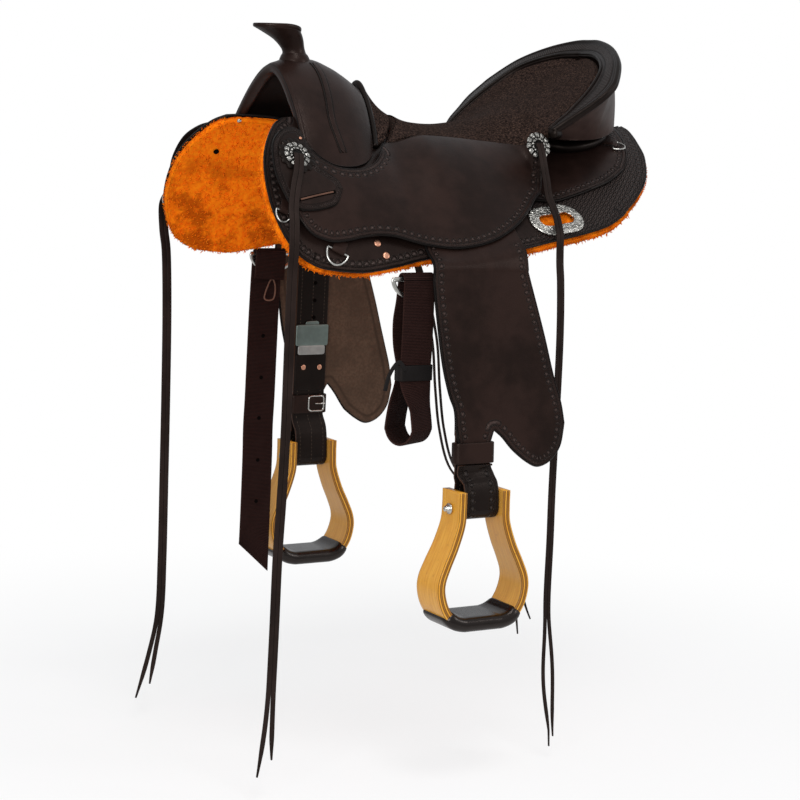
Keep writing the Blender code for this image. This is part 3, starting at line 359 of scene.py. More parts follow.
def sweep(name, sections, finish, ring=False, data=None, **keep):
    # closed sections, rows by points; ends are drawn to their middles
    rows, cols = sections.shape[:2]
    values = {key: np.asarray(value, float).reshape(rows, cols, 3) for key, value in (data or {}).items()}
    if not ring:
        ends = sections[[0, -1]].mean(1, keepdims=True) + 0 * sections[[0, -1]]
        sections = np.concatenate([ends[:1], sections, ends[1:]])
        values = {key: np.concatenate([v[:1], v, v[-1:]]) for key, v in values.items()}
        rows += 2
    quads = gridQuads(rows, cols, ringRows=ring, ringCols=True)
    return makePiece(name, sections.reshape(-1, 3), quads, finish,
                     {key: v.reshape(-1, 3) for key, v in values.items()}, close=True, **keep)


def roundedSection(width, thick, corner, count=5, between=0):
    # points of a rectangle with round corners, with some between them on the long sides
    turns = np.linspace(0, math.pi / 2, count)
    arcs = []
    for k, (a, b) in enumerate(((1, 1), (-1, 1), (-1, -1), (1, -1))):
        t = turns + k * math.pi / 2
        arcs.append(np.stack([a * (width / 2 - corner) + corner * np.cos(t),
                              b * (thick / 2 - corner) + corner * np.sin(t)], -1))
        if between and k in (0, 2):
            share = np.linspace(0, 1, between + 2)[1:-1, None]
            ahead = arcs[-1][-1] * [-1, 1]
            arcs.append(arcs[-1][-1] * (1 - share) + ahead * share)
    return np.concatenate(arcs)


def band(name, path, normals, width, thick, finish, ring=False, corner=None, between=0, tool=1.0, **keep):
    # a flat band along a path: at each point a rounded rectangle, its long side across the path
    along = tangents(path, ring)
    across = unit(np.cross(along, normals))
    up = np.cross(across, along)
    width = np.broadcast_to(np.asarray(width, float), len(path))
    thick = np.broadcast_to(np.asarray(thick, float), len(path))
    corner = thick.max() * .45 if corner is None else corner
    base = roundedSection(1, 1, .25, between=between)
    flat = roundedSection(width.max(), thick.max(), corner, between=between)
    run = runLength(path)
    shape = flat[None] * np.stack([width / width.max(), thick / thick.max()], -1)[:, None]
    sections = path[:, None] + across[:, None] * shape[..., :1] + up[:, None] * shape[..., 1:]
    lay = np.zeros(sections.shape)
    lay[..., 0] = run[:, None]
    lay[..., 1] = shape[..., 0]
    lay[..., 2] = shape[..., 1] / thick.max() * 2
    edge = np.zeros(sections.shape)
    edge[..., 0] = np.clip((np.abs(base[:, 0]) * 2 - .8) / .15, 0, 1)
    edge[..., 1] = np.sign(shape[..., 1]) < 0
    rim = np.zeros(sections.shape)
    rim[..., 0] = run[:, None]
    rim[..., 1] = width[:, None] / 2 - np.abs(shape[..., 0])
    rim[..., 2] = (shape[..., 1] > 0) * np.broadcast_to(tool, len(path))[:, None]
    return sweep(name, sections, finish, ring, {"lay": lay, "edge": edge, "rim": rim}, **keep)


def ovals(path, first, second, count=12):
    # an oval ring at each point of a path, from its two half axes
    turn = roundAngles(count)[:, None]
    return path[:, None] + first[:, None] * np.cos(turn) + second[:, None] * np.sin(turn)


def wire(name, points, axis, radius, finish, flat=1.0, **keep):
    # a closed ring of wire along a flat loop whose plane faces axis
    across = np.cross(tangents(points, ring=True), axis) * radius
    rings = ovals(points, across, np.array(axis) * radius * flat + 0 * points)
    return sweep(name, rings, finish, ring=True, **keep)


def roundTube(path, radius, out, count=12):
    along = tangents(path)
    across = unit(np.cross(along, out))
    return ovals(path, across * radius, np.cross(across, along) * radius, count)


def lathe(name, middle, axis, profile, finish, count=32, **keep):
    # a profile of (distance along the axis, radius) turned about it
    axis = unit(np.asarray(axis, float))
    side = unit(np.cross(axis, alongZ if abs(axis[2]) < .9 else alongX))
    place, radius = np.array(profile, float).T[..., None]
    path = np.asarray(middle) + axis * place
    return sweep(name, ovals(path, side * radius, np.cross(axis, side) * radius, count), finish, **keep)


def rimOf(points, lines):
    # for each point, the run along the nearest edge line and the distance from it, refined
    # within the nearest millimetre of the line
    flat = points.reshape(-1, 3)
    run = np.zeros(len(flat))
    gap = np.full(len(flat), 9.0)
    start = 0.0
    for line in lines:
        length = runLength(line)
        at = np.linspace(0, length[-1], max(8, int(length[-1] / .0012)))
        fine = np.stack([np.interp(at, length, column) for column in line.T], -1)
        ways = tangents(fine)
        for part in np.array_split(np.arange(len(flat)), max(1, len(flat) // 4000)):
            d = ((flat[part, None] - fine[None]) ** 2).sum(-1)
            near = d.argmin(1)
            rest = flat[part] - fine[near]
            ahead = np.clip((rest * ways[near]).sum(-1), -.0012, .0012)
            distance = np.linalg.norm(rest - ahead[:, None] * ways[near], axis=-1)
            better = distance < gap[part]
            run[part] = np.where(better, start + at[near] + ahead, run[part])
            gap[part] = np.minimum(gap[part], distance)
        start += length[-1]
    return np.stack([run, gap, np.ones(len(flat))], -1)


# shader maths

class Num:
    # one value in a material; an expression on it adds the Math nodes
    def __init__(self, finish, socket):
        self.finish, self.socket = finish, socket

    def do(self, operation, *others, clamp=False):
        node = self.finish.tree.nodes.new("ShaderNodeMath")
        node.operation, node.use_clamp = operation, clamp
        for slot, value in zip(node.inputs, (self,) + others):
            self.finish.put(slot, value)
        return Num(self.finish, node.outputs[0])

    def __add__(self, other): return self.do("ADD", other)
    def __sub__(self, other): return self.do("SUBTRACT", other)
    def __mul__(self, other): return self.do("MULTIPLY", other)
    def __truediv__(self, other): return self.do("DIVIDE", other)
    def __pow__(self, other): return self.do("POWER", other)
    def __rsub__(self, other): return self * -1 + other
    def __gt__(self, other): return self.do("GREATER_THAN", other)
    __radd__, __rmul__ = __add__, __mul__

    def sin(self): return self.do("SINE")
    def abs(self): return self.do("ABSOLUTE")
    def fract(self): return self.do("FRACT")
    def floor(self): return self.do("FLOOR")
    def most(self, other): return self.do("MAXIMUM", other)
    def clamp(self): return self.do("ADD", 0, clamp=True)

    def ease(self, low, high):
        # smooth step from 0 at low to 1 at high
        return self.finish.node("ShaderNodeMapRange", dict(interpolation_type="SMOOTHSTEP"), Value=self,
                                **{"From Min": low, "From Max": high})

    def dip(self, middle, width):
        # 1 at the middle, falling to 0 at width on both sides
        return 1 - (self - middle).abs().ease(0, width)


class Finish:
    # a material and the few ways its nodes are made
    def __init__(self, name, **fixed):
        self.material = bpy.data.materials.new(name)
        self.material.use_nodes = True
        self.tree = self.material.node_tree
        self.shader = self.tree.nodes["Principled BSDF"]
        self.set(**fixed)

    def put(self, slot, value):
        if isinstance(value, Num):
            self.tree.links.new(value.socket, slot)
        elif isinstance(value, bpy.types.NodeSocket):
            self.tree.links.new(value, slot)
        elif slot.type == "RGBA" and not np.isscalar(value):
            slot.default_value = (*value, 1.0)
        else:
            slot.default_value = value

    def set(self, **sockets):
        for key, value in sockets.items():
            self.put(self.shader.inputs[key.replace("_", " ")], value)
        return self

    def node(self, kind, settings=None, out=0, **sockets):
        node = self.tree.nodes.new(kind)
        for key, value in (settings or {}).items():
            setattr(node, key, value)
        for key, value in sockets.items():
            self.put(node.inputs[key], value)
        socket = node.outputs[out]
        return Num(self, socket) if socket.type == "VALUE" else socket

    def place(self):
        return self.node("ShaderNodeTexCoord", out="Object")

    def three(self, key):
        # the three numbers of one of the piece's own attributes
        vector = self.node("ShaderNodeAttribute", dict(attribute_name=key), out="Vector")
        split = self.tree.nodes.new("ShaderNodeSeparateXYZ")
        self.tree.links.new(vector, split.inputs[0])
        return [Num(self, socket) for socket in split.outputs]

    def noise(self, scale, detail=3.0, roughness=.55):
        return self.node("ShaderNodeTexNoise", Vector=self.place(), Scale=scale, Detail=detail,
                         Roughness=roughness)

    def cells(self, scale):
        return self.node("ShaderNodeTexVoronoi", Vector=self.place(), Scale=scale)

    def mix(self, share, first, second):
        node = self.tree.nodes.new("ShaderNodeMix")
        node.data_type = "RGBA"
        self.put(node.inputs[0], share)
        self.put(node.inputs[6], first)
        self.put(node.inputs[7], second)
        return node.outputs[2]

    def bump(self, height, strength=1.0):
        # height in metres
        normal = self.node("ShaderNodeBump", Height=height, Strength=strength, Distance=1.0)
        return self.set(Normal=normal)


# finishes

# the border's stamps: steps of the beads along it and their distance in, creased lines and ticks
toolWork = dict(pitch=.0112, inset=.0125, bead=.0028, beadHeight=.0011, lines=(.003, .0078),
                lineWidth=.001, tick=.0019, tickBand=(.004, .0068))


def stampHeight(finish, work=toolWork):
    # beads at equal steps along the border, two creased lines and a row of ticks between them
    run, gap, on = finish.three("rim")
    step = ((run / work["pitch"]).fract() - .5) * work["pitch"]
    off = gap - work["inset"]
    radius = (step * step + off * off) ** .5
    dome = 1 - radius.ease(0, work["bead"])
    ring = radius.dip(work["bead"] * 1.2, work["bead"] * .42)
    first, second = [gap.dip(line, work["lineWidth"]) for line in work["lines"]]
    crease = first.most(second)
    low, high = work["tickBand"]
    inBand = gap.ease(low - .0006, low) * (1 - gap.ease(high, high + .0006))
    ticks = (run * (2 * math.pi / work["tick"])).sin() * inBand
    height = (dome * work["beadHeight"] - ring * .0007 - crease * .0008 + ticks * .00022) * on
    # the bead mask is for a painted highlight on the beads, the ring and crease mask for painted shade in
    # those hollows
    return height, dome * on, (ring + crease).clamp() * on


def basketHeight(finish, size=.008):
    # crossed short ridges: in every other cell of a turned grid they run the other way
    x, s, on = finish.three("weave")
    a, b = (x + s) / size, (x - s) / size
    odd = (((a.floor() + b.floor()) / 2).fract() * 2).clamp()
    ridgeA = (a * (2 * math.pi)).sin().abs() * (b.fract() * math.pi).sin()
    ridgeB = (b * (2 * math.pi)).sin().abs() * (a.fract() * math.pi).sin()
    return (ridgeA * odd + ridgeB * (1 - odd)) * on, on


def shade(color, times, plus=0.0):
    return tuple(c * times + plus for c in color)


def leather(name, color, dark=(.004, .0035, .0035), rough=.34, tooled=False, basket=False,
            stitched=False, ribbed=False, edgeColor=(.006, .0055, .0055), grain=.0001, under=None,
            work=toolWork, level=.17, **fixed):
    finish = Finish(name, Specular_IOR_Level=level, Specular_Tint=(1, .8, .71), **fixed)
    cloud = finish.noise(9, 4)
    cloud = cloud * .7 + finish.noise(48, 4) * .3
    base = finish.mix(cloud.ease(.36, .62), shade(color, .62), shade(color, 1.35))
    height = finish.noise(420, 2) * grain + finish.cells(900) * (grain * .8)
    edge, below, _ = finish.three("edge")
    if tooled:
        stamps, bead, hollow = stampHeight(finish, work)
        face = 1 - below.ease(.4, .6)
        # painted shade in the stamps' rings and creased lines, and a painted highlight on the beads
        base = finish.mix(hollow * face * .85, base, dark)
        base = finish.mix(bead * face * .85, base, shade(color, 3, .024))
        height = height + stamps * face
    if basket:
        weave, on = basketHeight(finish)
        # painted shade between the ridges and a painted highlight on their tops
        base = finish.mix((on - weave) * .8, base, dark)
        base = finish.mix(weave.ease(.55, .9) * .85, base, shade(color, 3, .022))
        height = height + weave * .0011
    if stitched:
        # dashes of thread along three lines of a strap's plain side
        run, across, _ = finish.three("lay")
        _, _, stamped = finish.three("rim")
        seam = (across.abs() - .0205).abs().dip(0, .0008).most(across.abs().dip(0, .0008))
        dash = ((run / .0058).fract() - .5).abs().ease(.2, .12) * seam * (1 - stamped)
        base = finish.mix(dash * .8, base, (.11, .08, .055))
        height = height - seam * .0005 * (1 - stamped) + dash * .0007
    if ribbed:
        # short ribs across a band, between two creased lines; painted shade between the ribs and in the
        # lines, and a painted highlight on the ribs
        run, share, face = finish.three("lay")
        inside = share.ease(.3, .36) * (1 - share.ease(.66, .72)) * face
        rib = (run * (math.pi / .0044)).sin().abs() * inside
        lines = (share.dip(.27, .05).most(share.dip(.76, .05))) * face
        base = finish.mix((inside - rib).most(lines) * .8, base, dark)
        base = finish.mix(rib.ease(.5, 1) * .8, base, shade(color, 3, .018))
        height = height + rib * .001 - lines * .0009
    if under:
        nap = finish.noise(260, 5)
        raw = finish.mix(nap.ease(.35, .65), shade(under, .72), under)
        raw = finish.mix(finish.noise(16, 5).ease(.4, .62) * .55, raw, shade(under, .5))
        _, gap, _ = finish.three("rim")
        raw = finish.mix(gap.dip(.0125, .004) * .75, raw, shade(under, .35))
        raw = finish.mix((1 - gap.ease(.002, .008)) * .4, raw, shade(under, .6))
        base = finish.mix(below.ease(.4, .6), base, raw)
    base = finish.mix(edge.ease(.45, .8), base, edgeColor)
    finish.set(Base_Color=base, Roughness=finish.noise(60, 3) * .14 + (rough - .07))
    finish.bump(height)
    return finish.material


def suedeFinish():
    finish = Finish("suede", Specular_IOR_Level=.06, Roughness=.95)
    nap = finish.noise(300, 3, .7)
    patch = finish.noise(22, 4)
    speck = finish.noise(480, 2, .5).ease(.56, .66)
    base = finish.mix(nap.ease(.38, .62), (.005, .0028, .0024), (.044, .0265, .0215))
    base = finish.mix(patch.ease(.35, .7) * .45, base, (.017, .01, .0075))
    base = finish.mix(speck * .65, base, (.11, .064, .046))
    finish.set(Base_Color=base)
    finish.bump(nap * .0012 + finish.noise(700, 2) * .0004)
    return finish.material


def fleeceFinish():
    # plush with random darker patches, and painted shade where the pile is deep: at the roots of the curls
    # and in the hollows of the pad
    finish = Finish("fleece", Specular_IOR_Level=.03, Sheen_Weight=.12, Sheen_Roughness=.5, Roughness=.95,
                    Sheen_Tint=(1.0, .5, .1))
    cloud = finish.noise(22, 5, .65)
    curl = finish.noise(150, 4, .6)
    deep, tip, worn = finish.three("wool")
    base = finish.mix(curl.ease(.3, .7), (.9, .155, .003), (1.0, .25, .006))
    base = finish.mix(cloud.ease(.46, .62) * worn * .85, base, (.4, .062, .0012))
    # painted shade where the pile is deep
    base = finish.mix(deep * .35, base, (.5, .085, .0015))
    base = finish.mix(tip.ease(.2, .9) * .6, base, (1.0, .42, .045))
    finish.set(Base_Color=base)
    finish.bump(curl * .0014 + finish.noise(520, 2) * .0005)
    return finish.material


def steelFinish(name, color=(.62, .62, .6), rough=.22, engraved=0.0, relief=False):
    finish = Finish(name, Metallic=1.0)
    mark = finish.noise(80, 4)
    base = finish.mix(mark.ease(.35, .7), shade(color, .85), color)
    height = finish.noise(900, 2) * .00003
    if engraved:
        swirl = finish.node("ShaderNodeTexWave", dict(wave_type="RINGS"), out="Fac", Scale=55.0,
                            Vector=finish.place(), Distortion=16.0, Detail=2.0, **{"Detail Scale": 2.0})
        height = height + swirl * (.0008 * engraved)
        base = finish.mix((1 - swirl).ease(.55, .95) * (.6 * engraved), base, (.05, .05, .045))
    if relief:
        hollow, _, _ = finish.three("relief")
        base = finish.mix(hollow.ease(.08, .6), base, (.012, .011, .01))
    finish.set(Base_Color=base, Roughness=mark * .12 + rough)
    finish.bump(height)
    return finish.material


def woodFinish(plies=4):
    # lacquered plywood: grain along the bend, and on the edges dark glue lines between the plies
    finish = Finish("stirrupWood", Specular_IOR_Level=.3, Specular_Tint=(1, .85, .6), Coat_Weight=.25,
                    Coat_Roughness=.15)
    run, across, deep = finish.three("ply")
    vector = finish.node("ShaderNodeCombineXYZ", X=run * .9, Y=across * .5, Z=deep * .2)
    grain = finish.node("ShaderNodeTexNoise", Vector=vector, Scale=24.0, Detail=6.0, Roughness=.65,
                        Distortion=.6)
    flecks = finish.noise(160, 3, .6)
    base = finish.mix(grain.ease(.3, .7), (.66, .27, .022), (.82, .42, .055))
    base = finish.mix(flecks.ease(.58, .76) * .35, base, (.36, .13, .014))
    side = across.abs().ease(.93, .97)
    layer = deep * plies
    base = finish.mix(side * ((layer / 2).fract() > .5) * .85, base, (.24, .09, .014))
    glue = ((layer + .5).fract() - .5).abs().dip(0, .3) * side
    base = finish.mix(glue * .9, base, (.045, .014, .004))
    base = finish.mix(deep.ease(.9, .99) * .3, base, (.42, .25, .09))
    finish.set(Base_Color=base, Roughness=grain * .15 + .24)
    finish.bump(grain * .00012 - glue * .00025)
    return finish.material


def webFinish():
    finish = Finish("webbing", Specular_IOR_Level=.08, Roughness=.8)
    run, across, _ = finish.three("lay")
    edge, _, _ = finish.three("edge")
    rib = (run * (2 * math.pi / .0021)).sin()
    yarn = (across * (2 * math.pi / .0009)).sin()
    # painted shade in the troughs of the ribs and a painted highlight on their tops
    base = finish.mix((rib * .5 + .5).clamp(), (.0045, .0018, .0015), (.034, .0125, .01))
    base = finish.mix(finish.noise(40, 3).ease(.3, .7) * .4, base, (.028, .012, .01))
    base = finish.mix(edge * .5, base, (.055, .024, .019))
    finish.set(Base_Color=base)
    finish.bump(rib * .00045 + yarn * .00006)
    return finish.material


brown = (.016, .0082, .0066)
frontWork = dict(toolWork, bead=.0036, beadHeight=.0014)
stitchWork = dict(toolWork, pitch=.0042, inset=.006, bead=.0011, beadHeight=.0005, lines=(.0026, .0094))
looks = dict(
    tooled=leather("tooledLeather", brown, tooled=True),
    skirt=leather("skirtLeather", (.0125, .007, .0058), tooled=True, basket=True, work=frontWork),
    patch=leather("patchLeather", (.013, .0074, .0062), tooled=True, work=stitchWork),
    plain=leather("plainLeather", brown),
    fork=leather("forkLeather", (.015, .0078, .0064), rough=.31, level=.18),
    wall=leather("cantleWallLeather", (.046, .028, .024), rough=.4),
    black=leather("blackLeather", (.0052, .0036, .0031), rough=.36),
    rimBlack=leather("cantleLeather", (.0085, .0056, .0049), rough=.36, ribbed=True),
    tread=leather("treadLeather", (.0035, .0028, .0026), rough=.24, level=.35, Coat_Weight=.2,
                  Coat_Roughness=.2),
    lace=leather("laceLeather", (.0135, .0082, .007), rough=.5, edgeColor=(.008, .005, .0043)),
    thong=leather("thongLeather", (.11, .055, .038), rough=.55, edgeColor=(.09, .045, .03)),
    # a near-black finish for discs and strips that stand for painted shade inside holes and slits
    hole=leather("paintedHoleShade", (.0012, .0008, .0007), rough=.8, level=.05),
    strap=leather("strapLeather", (.0065, .0044, .0038), tooled=True, stitched=True,
                  edgeColor=(.06, .026, .016)),
    fender=leather("fenderLeather", brown, tooled=True, under=(.098, .058, .038)),
    suede=suedeFinish(),
    fleece=fleeceFinish(),
    steel=steelFinish("steel", (.66, .65, .61)),
    engraved=steelFinish("engravedSteel", (.8, .78, .72), .26, 1.0),
    rosette=steelFinish("rosetteSteel", (.5, .485, .45), .24, .8, relief=True),
    plate=steelFinish("plateSteel", (.2, .245, .225), .38),
    paleSteel=steelFinish("paleSteel", (.42, .41, .39), .45),
    copper=steelFinish("copper", (.8, .4, .26), .35),
    wood=woodFinish(),
    web=webFinish(),
    rubber=leather("rubberBand", (.006, .006, .0065), rough=.55),
    foam=leather("firmFoam", (.035, .034, .033), rough=.85),
    board=leather("stiffBoard", (.06, .042, .03), rough=.62),
)
print("finishes ready")


# camera

# angles in degrees, focal length and picture width in pixels
view = dict(azimuth=-30, height=8, roll=2, place=(-1.65921322, -2.81318635, .09229293), focal=2174.0,
            picture=800, sensor=36)


def buildCamera():
    azimuth, height, roll = (math.radians(view[key]) for key in ("azimuth", "height", "roll"))
    behind = np.array([math.sin(azimuth) * math.cos(height), -math.cos(azimuth) * math.cos(height),
                       math.sin(height)])
    right = unit(np.cross(-behind, alongZ))
    up = np.cross(right, -behind)
    right, up = right * math.cos(roll) + up * math.sin(roll), up * math.cos(roll) - right * math.sin(roll)
    camera = bpy.data.objects.new("camera", bpy.data.cameras.new("camera"))
    camera.data.sensor_width = view["sensor"]
    camera.data.lens = view["focal"] / view["picture"] * view["sensor"]
    turn = np.stack([right, up, behind], 1)
    camera.matrix_world = Matrix.Translation(view["place"]) @ Matrix(turn.tolist()).to_4x4()
    bpy.context.collection.objects.link(camera)
    bpy.context.scene.camera = camera


buildCamera()


# saddle strings

strings = dict(
    width=dict(front=.0074, rear=.0062), thick=.0024, steps=120,
    frontDrape=[(-.3016, .109, .0272), (-.303, .115, .0282), (-.305, .123, .0272), (-.309, .136, .0262),
                (-.316, .152, .0258), (-.323, .17, .0258), (-.329, .19, .0262), (-.333, .212, .028)],
    nearFrontHang=[(-.3345, .2215, -.122), (-.3352, .219, -.16), (-.336, .2175, -.25),
                   (-.3375, .217, -.375), (-.3405, .2165, -.46), (-.344, .216, -.54),
                   (-.346, .2155, -.65), (-.349, .215, -.76), (-.353, .215, -.835)],
    offFrontHang=[(-.33, .2215, -.122), (-.3262, .219, -.16), (-.324, .2175, -.25),
                  (-.3235, .217, -.375), (-.324, .2165, -.5), (-.3245, .2165, -.63),
                  (-.327, .2165, -.715), (-.338, .2165, -.78), (-.35, .2165, -.837)],
    rearTop=[(.0976, .1506, .029), (.0978, .1535, .023), (.0985, .1572, .012), (.1, .1615, -.006),
             (.1035, .165, -.028), (.106, .168, -.048)],
    nearRearDrape=[(.1085, .15, .016), (.1075, .165, .0135), (.104, .18, .0135), (.098, .197, .014),
                   (.0935, .21, .015)],
    offRearDrape=[(.1075, .15, .016), (.108, .165, .0135), (.108, .18, .0135), (.107, .197, .014),
                  (.106, .21, .015)],
    nearRearHang=[(.0943, .2215, -.14), (.0972, .2215, -.17), (.1022, .218, -.23), (.1047, .215, -.305),
                  (.1068, .209, -.46), (.1082, .2075, -.55), (.108, .207, -.64), (.1125, .207, -.71),
                  (.1175, .207, -.78), (.126, .207, -.85)],
    offRearHang=[(.106, .221, -.14), (.112, .219, -.17), (.13, .213, -.23), (.146, .207, -.305),
                 (.152, .203, -.38), (.162, .201, -.45), (.1837, .2, -.5123), (.2302, .2, -.5536),
                 (.265, .2, -.583), (.288, .2, -.619), (.306, .2, -.67), (.32, .2, -.72),
                 (.334, .2, -.77), (.342, .2, -.795)])


def buildStrings():
    for label, side in sides:
        routes = dict(
            front=np.concatenate([overBack(strings["frontDrape"]), strings[label + "FrontHang"]]),
            rear=np.concatenate([strings["rearTop"], overBack(strings[label + "RearDrape"]),
                                 strings[label + "RearHang"]]))
        for where, route in routes.items():
            lace = strings["width"][where]
            shift = (lace + .0001) / 2
            fine = even(route, 400)
            at = np.linspace(0, 1, strings["steps"]) ** 1.35
            path = np.stack([np.interp(at, np.linspace(0, 1, 400), column) for column in fine.T], -1)
            down = tangents(path)
            across = alongX - down * down[:, :1]
            across = unit(across) * shift
            left, right = path - across, path + across
            if (label, where) == ("near", "rear"):
                gape = .0052 * np.sin(math.pi * np.clip((-.655 - path[:, 2]) / .2, 0, 1)) ** 2
                gape = gape[:, None] * alongX
                left, right = left - gape, right + gape
                left[-1, 2] -= .014
            else:
                tail = np.clip((at - .86) / .14, 0, 1)[:, None] ** 2
                left = left + tail * np.array([-.01, .0015, -.012])
                right = right + tail * np.array([.005, 0, .01])
            out = np.cross(tangents(onSide(path, side)), alongX)
            out = unit(out * np.sign((out * np.array([0, side, .3])).sum(1, keepdims=True)))
            if (label, where) == ("off", "rear"):
                # these two twist to hang edge on, a little apart
                twist = np.clip((-.17 - path[:, 2:]) / .12, 0, 1)
                out = unit(out * (1 - twist) + alongX * twist)
                left, right = left - twist * [.0012, 0, 0], right + twist * [.0012, 0, 0]
            width = lace * np.clip((1.02 - at) / .06, .3, 1)
            for half, line in (("left", left), ("right", right)):
                line = onSide(line, side)
                piece = band(f"{label}_{where}_string_{half}", line, out, width, strings["thick"],
                             looks["lace"], node=f"{label}_{where}_strings")


buildStrings()
print("strings hung")


# skirts, fleece and the leathers over them

panels = dict(
    skirt=dict(
        front=[(-.293, .028), (-.311, .043), (-.331, .073), (-.344, .103), (-.35, .134), (-.351, .166),
               (-.347, .193), (-.336, .2235), (-.32, .246), (-.302, .258)],
        low=[(-.302, .258), (-.281, .265), (-.227, .267), (-.176, .257), (-.12, .243), (-.04, .235),
             (.035, .225), (.104, .208), (.19, .19), (.229, .173)],
        rear=[(.346, -.035), (.348, -.015), (.339, .028), (.327, .069), (.295, .121), (.229, .173)],
        top=[(-.293, .028), (-.25, .016), (-.2, .008), (-.1, .002), (0, 0), (.1, -.004), (.165, -.02),
             (.205, -.034), (.27, -.035), (.346, -.035)],
        heights=(0, .0045)),
    rearJockey=dict(
        top=[(.092, .012), (.14, -.01), (.205, -.0335), (.27, -.034), (.326, -.034)],
        low=[(.08, .13), (.122, .1345), (.157, .1265), (.197, .115), (.24, .102), (.276, .083)],
        front=[(.092, .012), (.08, .13)],
        rear=[(.326, -.034), (.325, -.02), (.317, .015), (.299, .055), (.276, .083)],
        heights=(.0056, .0096)),
    patch=dict(
        front=[(-.29, .06), (-.306, .063), (-.32, .072), (-.334, .09), (-.341, .118), (-.341, .146),
               (-.332, .178)],
        rear=[(-.283, .064), (-.276, .09), (-.273, .118), (-.264, .126), (-.246, .138), (-.241, .152)],
        low=[(-.332, .178), (-.315, .188), (-.296, .189), (-.273, .184), (-.255, .175), (-.241, .152)],
        top=[(-.29, .06), (-.283, .064)],
        heights=(.018, .0208)),
    fleeceHeights=(-.0135, -.001), fleeceOver=.0016, tufts=5600, edgeTufts=1500, tuftLength=.004,
    slotPlate=dict(place=(.109, .172, .0049), turn=-10, outer=(.0465, .0285), inner=(.0308, .0112)))


def panelGrid(key, across, down):
    edges = panels[key]
    return coons(even(edges["top"], across), even(edges["low"], across),
                 even(edges["front"], down), even(edges["rear"], down))


def layOver(name, flat, heights, side, finish, border=None, weave=None, quads=None, **keep):
    middle = onSide(back(flat[..., 0], flat[..., 1], sum(heights) / 2), side)
    rows, cols = flat.shape[:2]
    points = middle.reshape(-1, 3)
    quads = gridQuads(rows, cols) if quads is None else quads(points, gridQuads(rows, cols))
    lines = border(middle) if border else [middle[:, -1], middle[0], middle[-1]]
    data = {"rim": rimOf(points, lines)}
    if weave is not None:
        data["weave"] = np.concatenate([flat.reshape(-1, 2), weave.reshape(-1, 1)], 1)
    return shell(name, points, quads, heights[1] - heights[0], (0, side, .8), finish, data, **keep)


def slotFrame(side):
    return turnedFrame(panels["slotPlate"]["place"], panels["slotPlate"]["turn"], side)


def buildPanels():
    for label, side in sides:
        here, along, down, _ = slotFrame(side)

        def openSlot(points, quads):
            middles = points[quads].mean(1) - here
            a = np.maximum(np.abs(middles @ along) - .0175, 0)
            return quads[np.hypot(a, middles @ down) > .017]

        flat = panelGrid("skirt", 181, 81)
        x, s = flat[..., 0], flat[..., 1]
        fade = np.clip((x - .06) / .01, 0, 1)
        layOver(f"{label}_skirt_leather", flat, panels["skirt"]["heights"], side, looks["skirt"],
                weave=fade, quads=openSlot, node=f"{label}_skirt")
        layOver(f"{label}_rear_jockey_leather", panelGrid("rearJockey", 121, 61),
                panels["rearJockey"]["heights"], side, looks["tooled"],
                border=lambda m: [m[:, -1], m[-1]], node=f"{label}_rear_jockey")
        layOver(f"{label}_front_patch_leather", panelGrid("patch", 41, 81), panels["patch"]["heights"],
                side, looks["patch"], node=f"{label}_front_patch")


def tuftMesh(name, roots, normals, length, radius, **keep):
    # curled hairs: a line that leaves along the normal and bends over, in three-sided rings
    count = len(roots)
    a = unit(np.cross(normals, rng.normal(size=(count, 3))))
    b = np.cross(normals, a)
    t = shareAcross(5)
    size = length * rng.uniform(.6, 1.3, (count, 1, 1))
    lean = rng.uniform(.4, 1.3, (count, 1, 1))
    curl = rng.uniform(-1, 1, (count, 1, 1))
    line = roots[:, None] + size * (normals[:, None] * np.sin(t * 1.7) * .75
                                    + a[:, None] * lean * (1 - np.cos(t * 2)) * .7
                                    + b[:, None] * curl * t * t * .6)
    along = unit(np.gradient(line, axis=1))
    u = unit(np.cross(along, b[:, None] + .01))
    w = np.cross(along, u)
    taper = np.array([0, 1, .85, .6, 0])[None, :, None, None]
    fat = radius * rng.uniform(.7, 1.2, (count, 1, 1, 1)) * taper
    turn = roundAngles(3)[:, None]
    rings = line[:, :, None] + fat * (u[:, :, None] * np.cos(turn) + w[:, :, None] * np.sin(turn))
    quads = gridQuads(5, 3, ringCols=True)
    quads = (quads[None] + np.arange(count)[:, None, None] * 15).reshape(-1, 4)
    # wool: painted shade near the root, the lighter tip, and how much of the darker patches shows
    wool = np.zeros((count, 5, 3, 3))
    wool[..., 0] = np.clip(.3 - t[..., None], 0, 1)[..., 0]
    wool[..., 2] = .3
    wool[..., 1] = np.clip(t[..., None] * 1.4 - .5, 0, 1)[..., 0] * rng.uniform(0, 1, (count, 1, 1))
    return makePiece(name, rings.reshape(-1, 3), quads, looks["fleece"], {"wool": wool.reshape(-1, 3)},
                     close=True, slot="fleece", **keep)


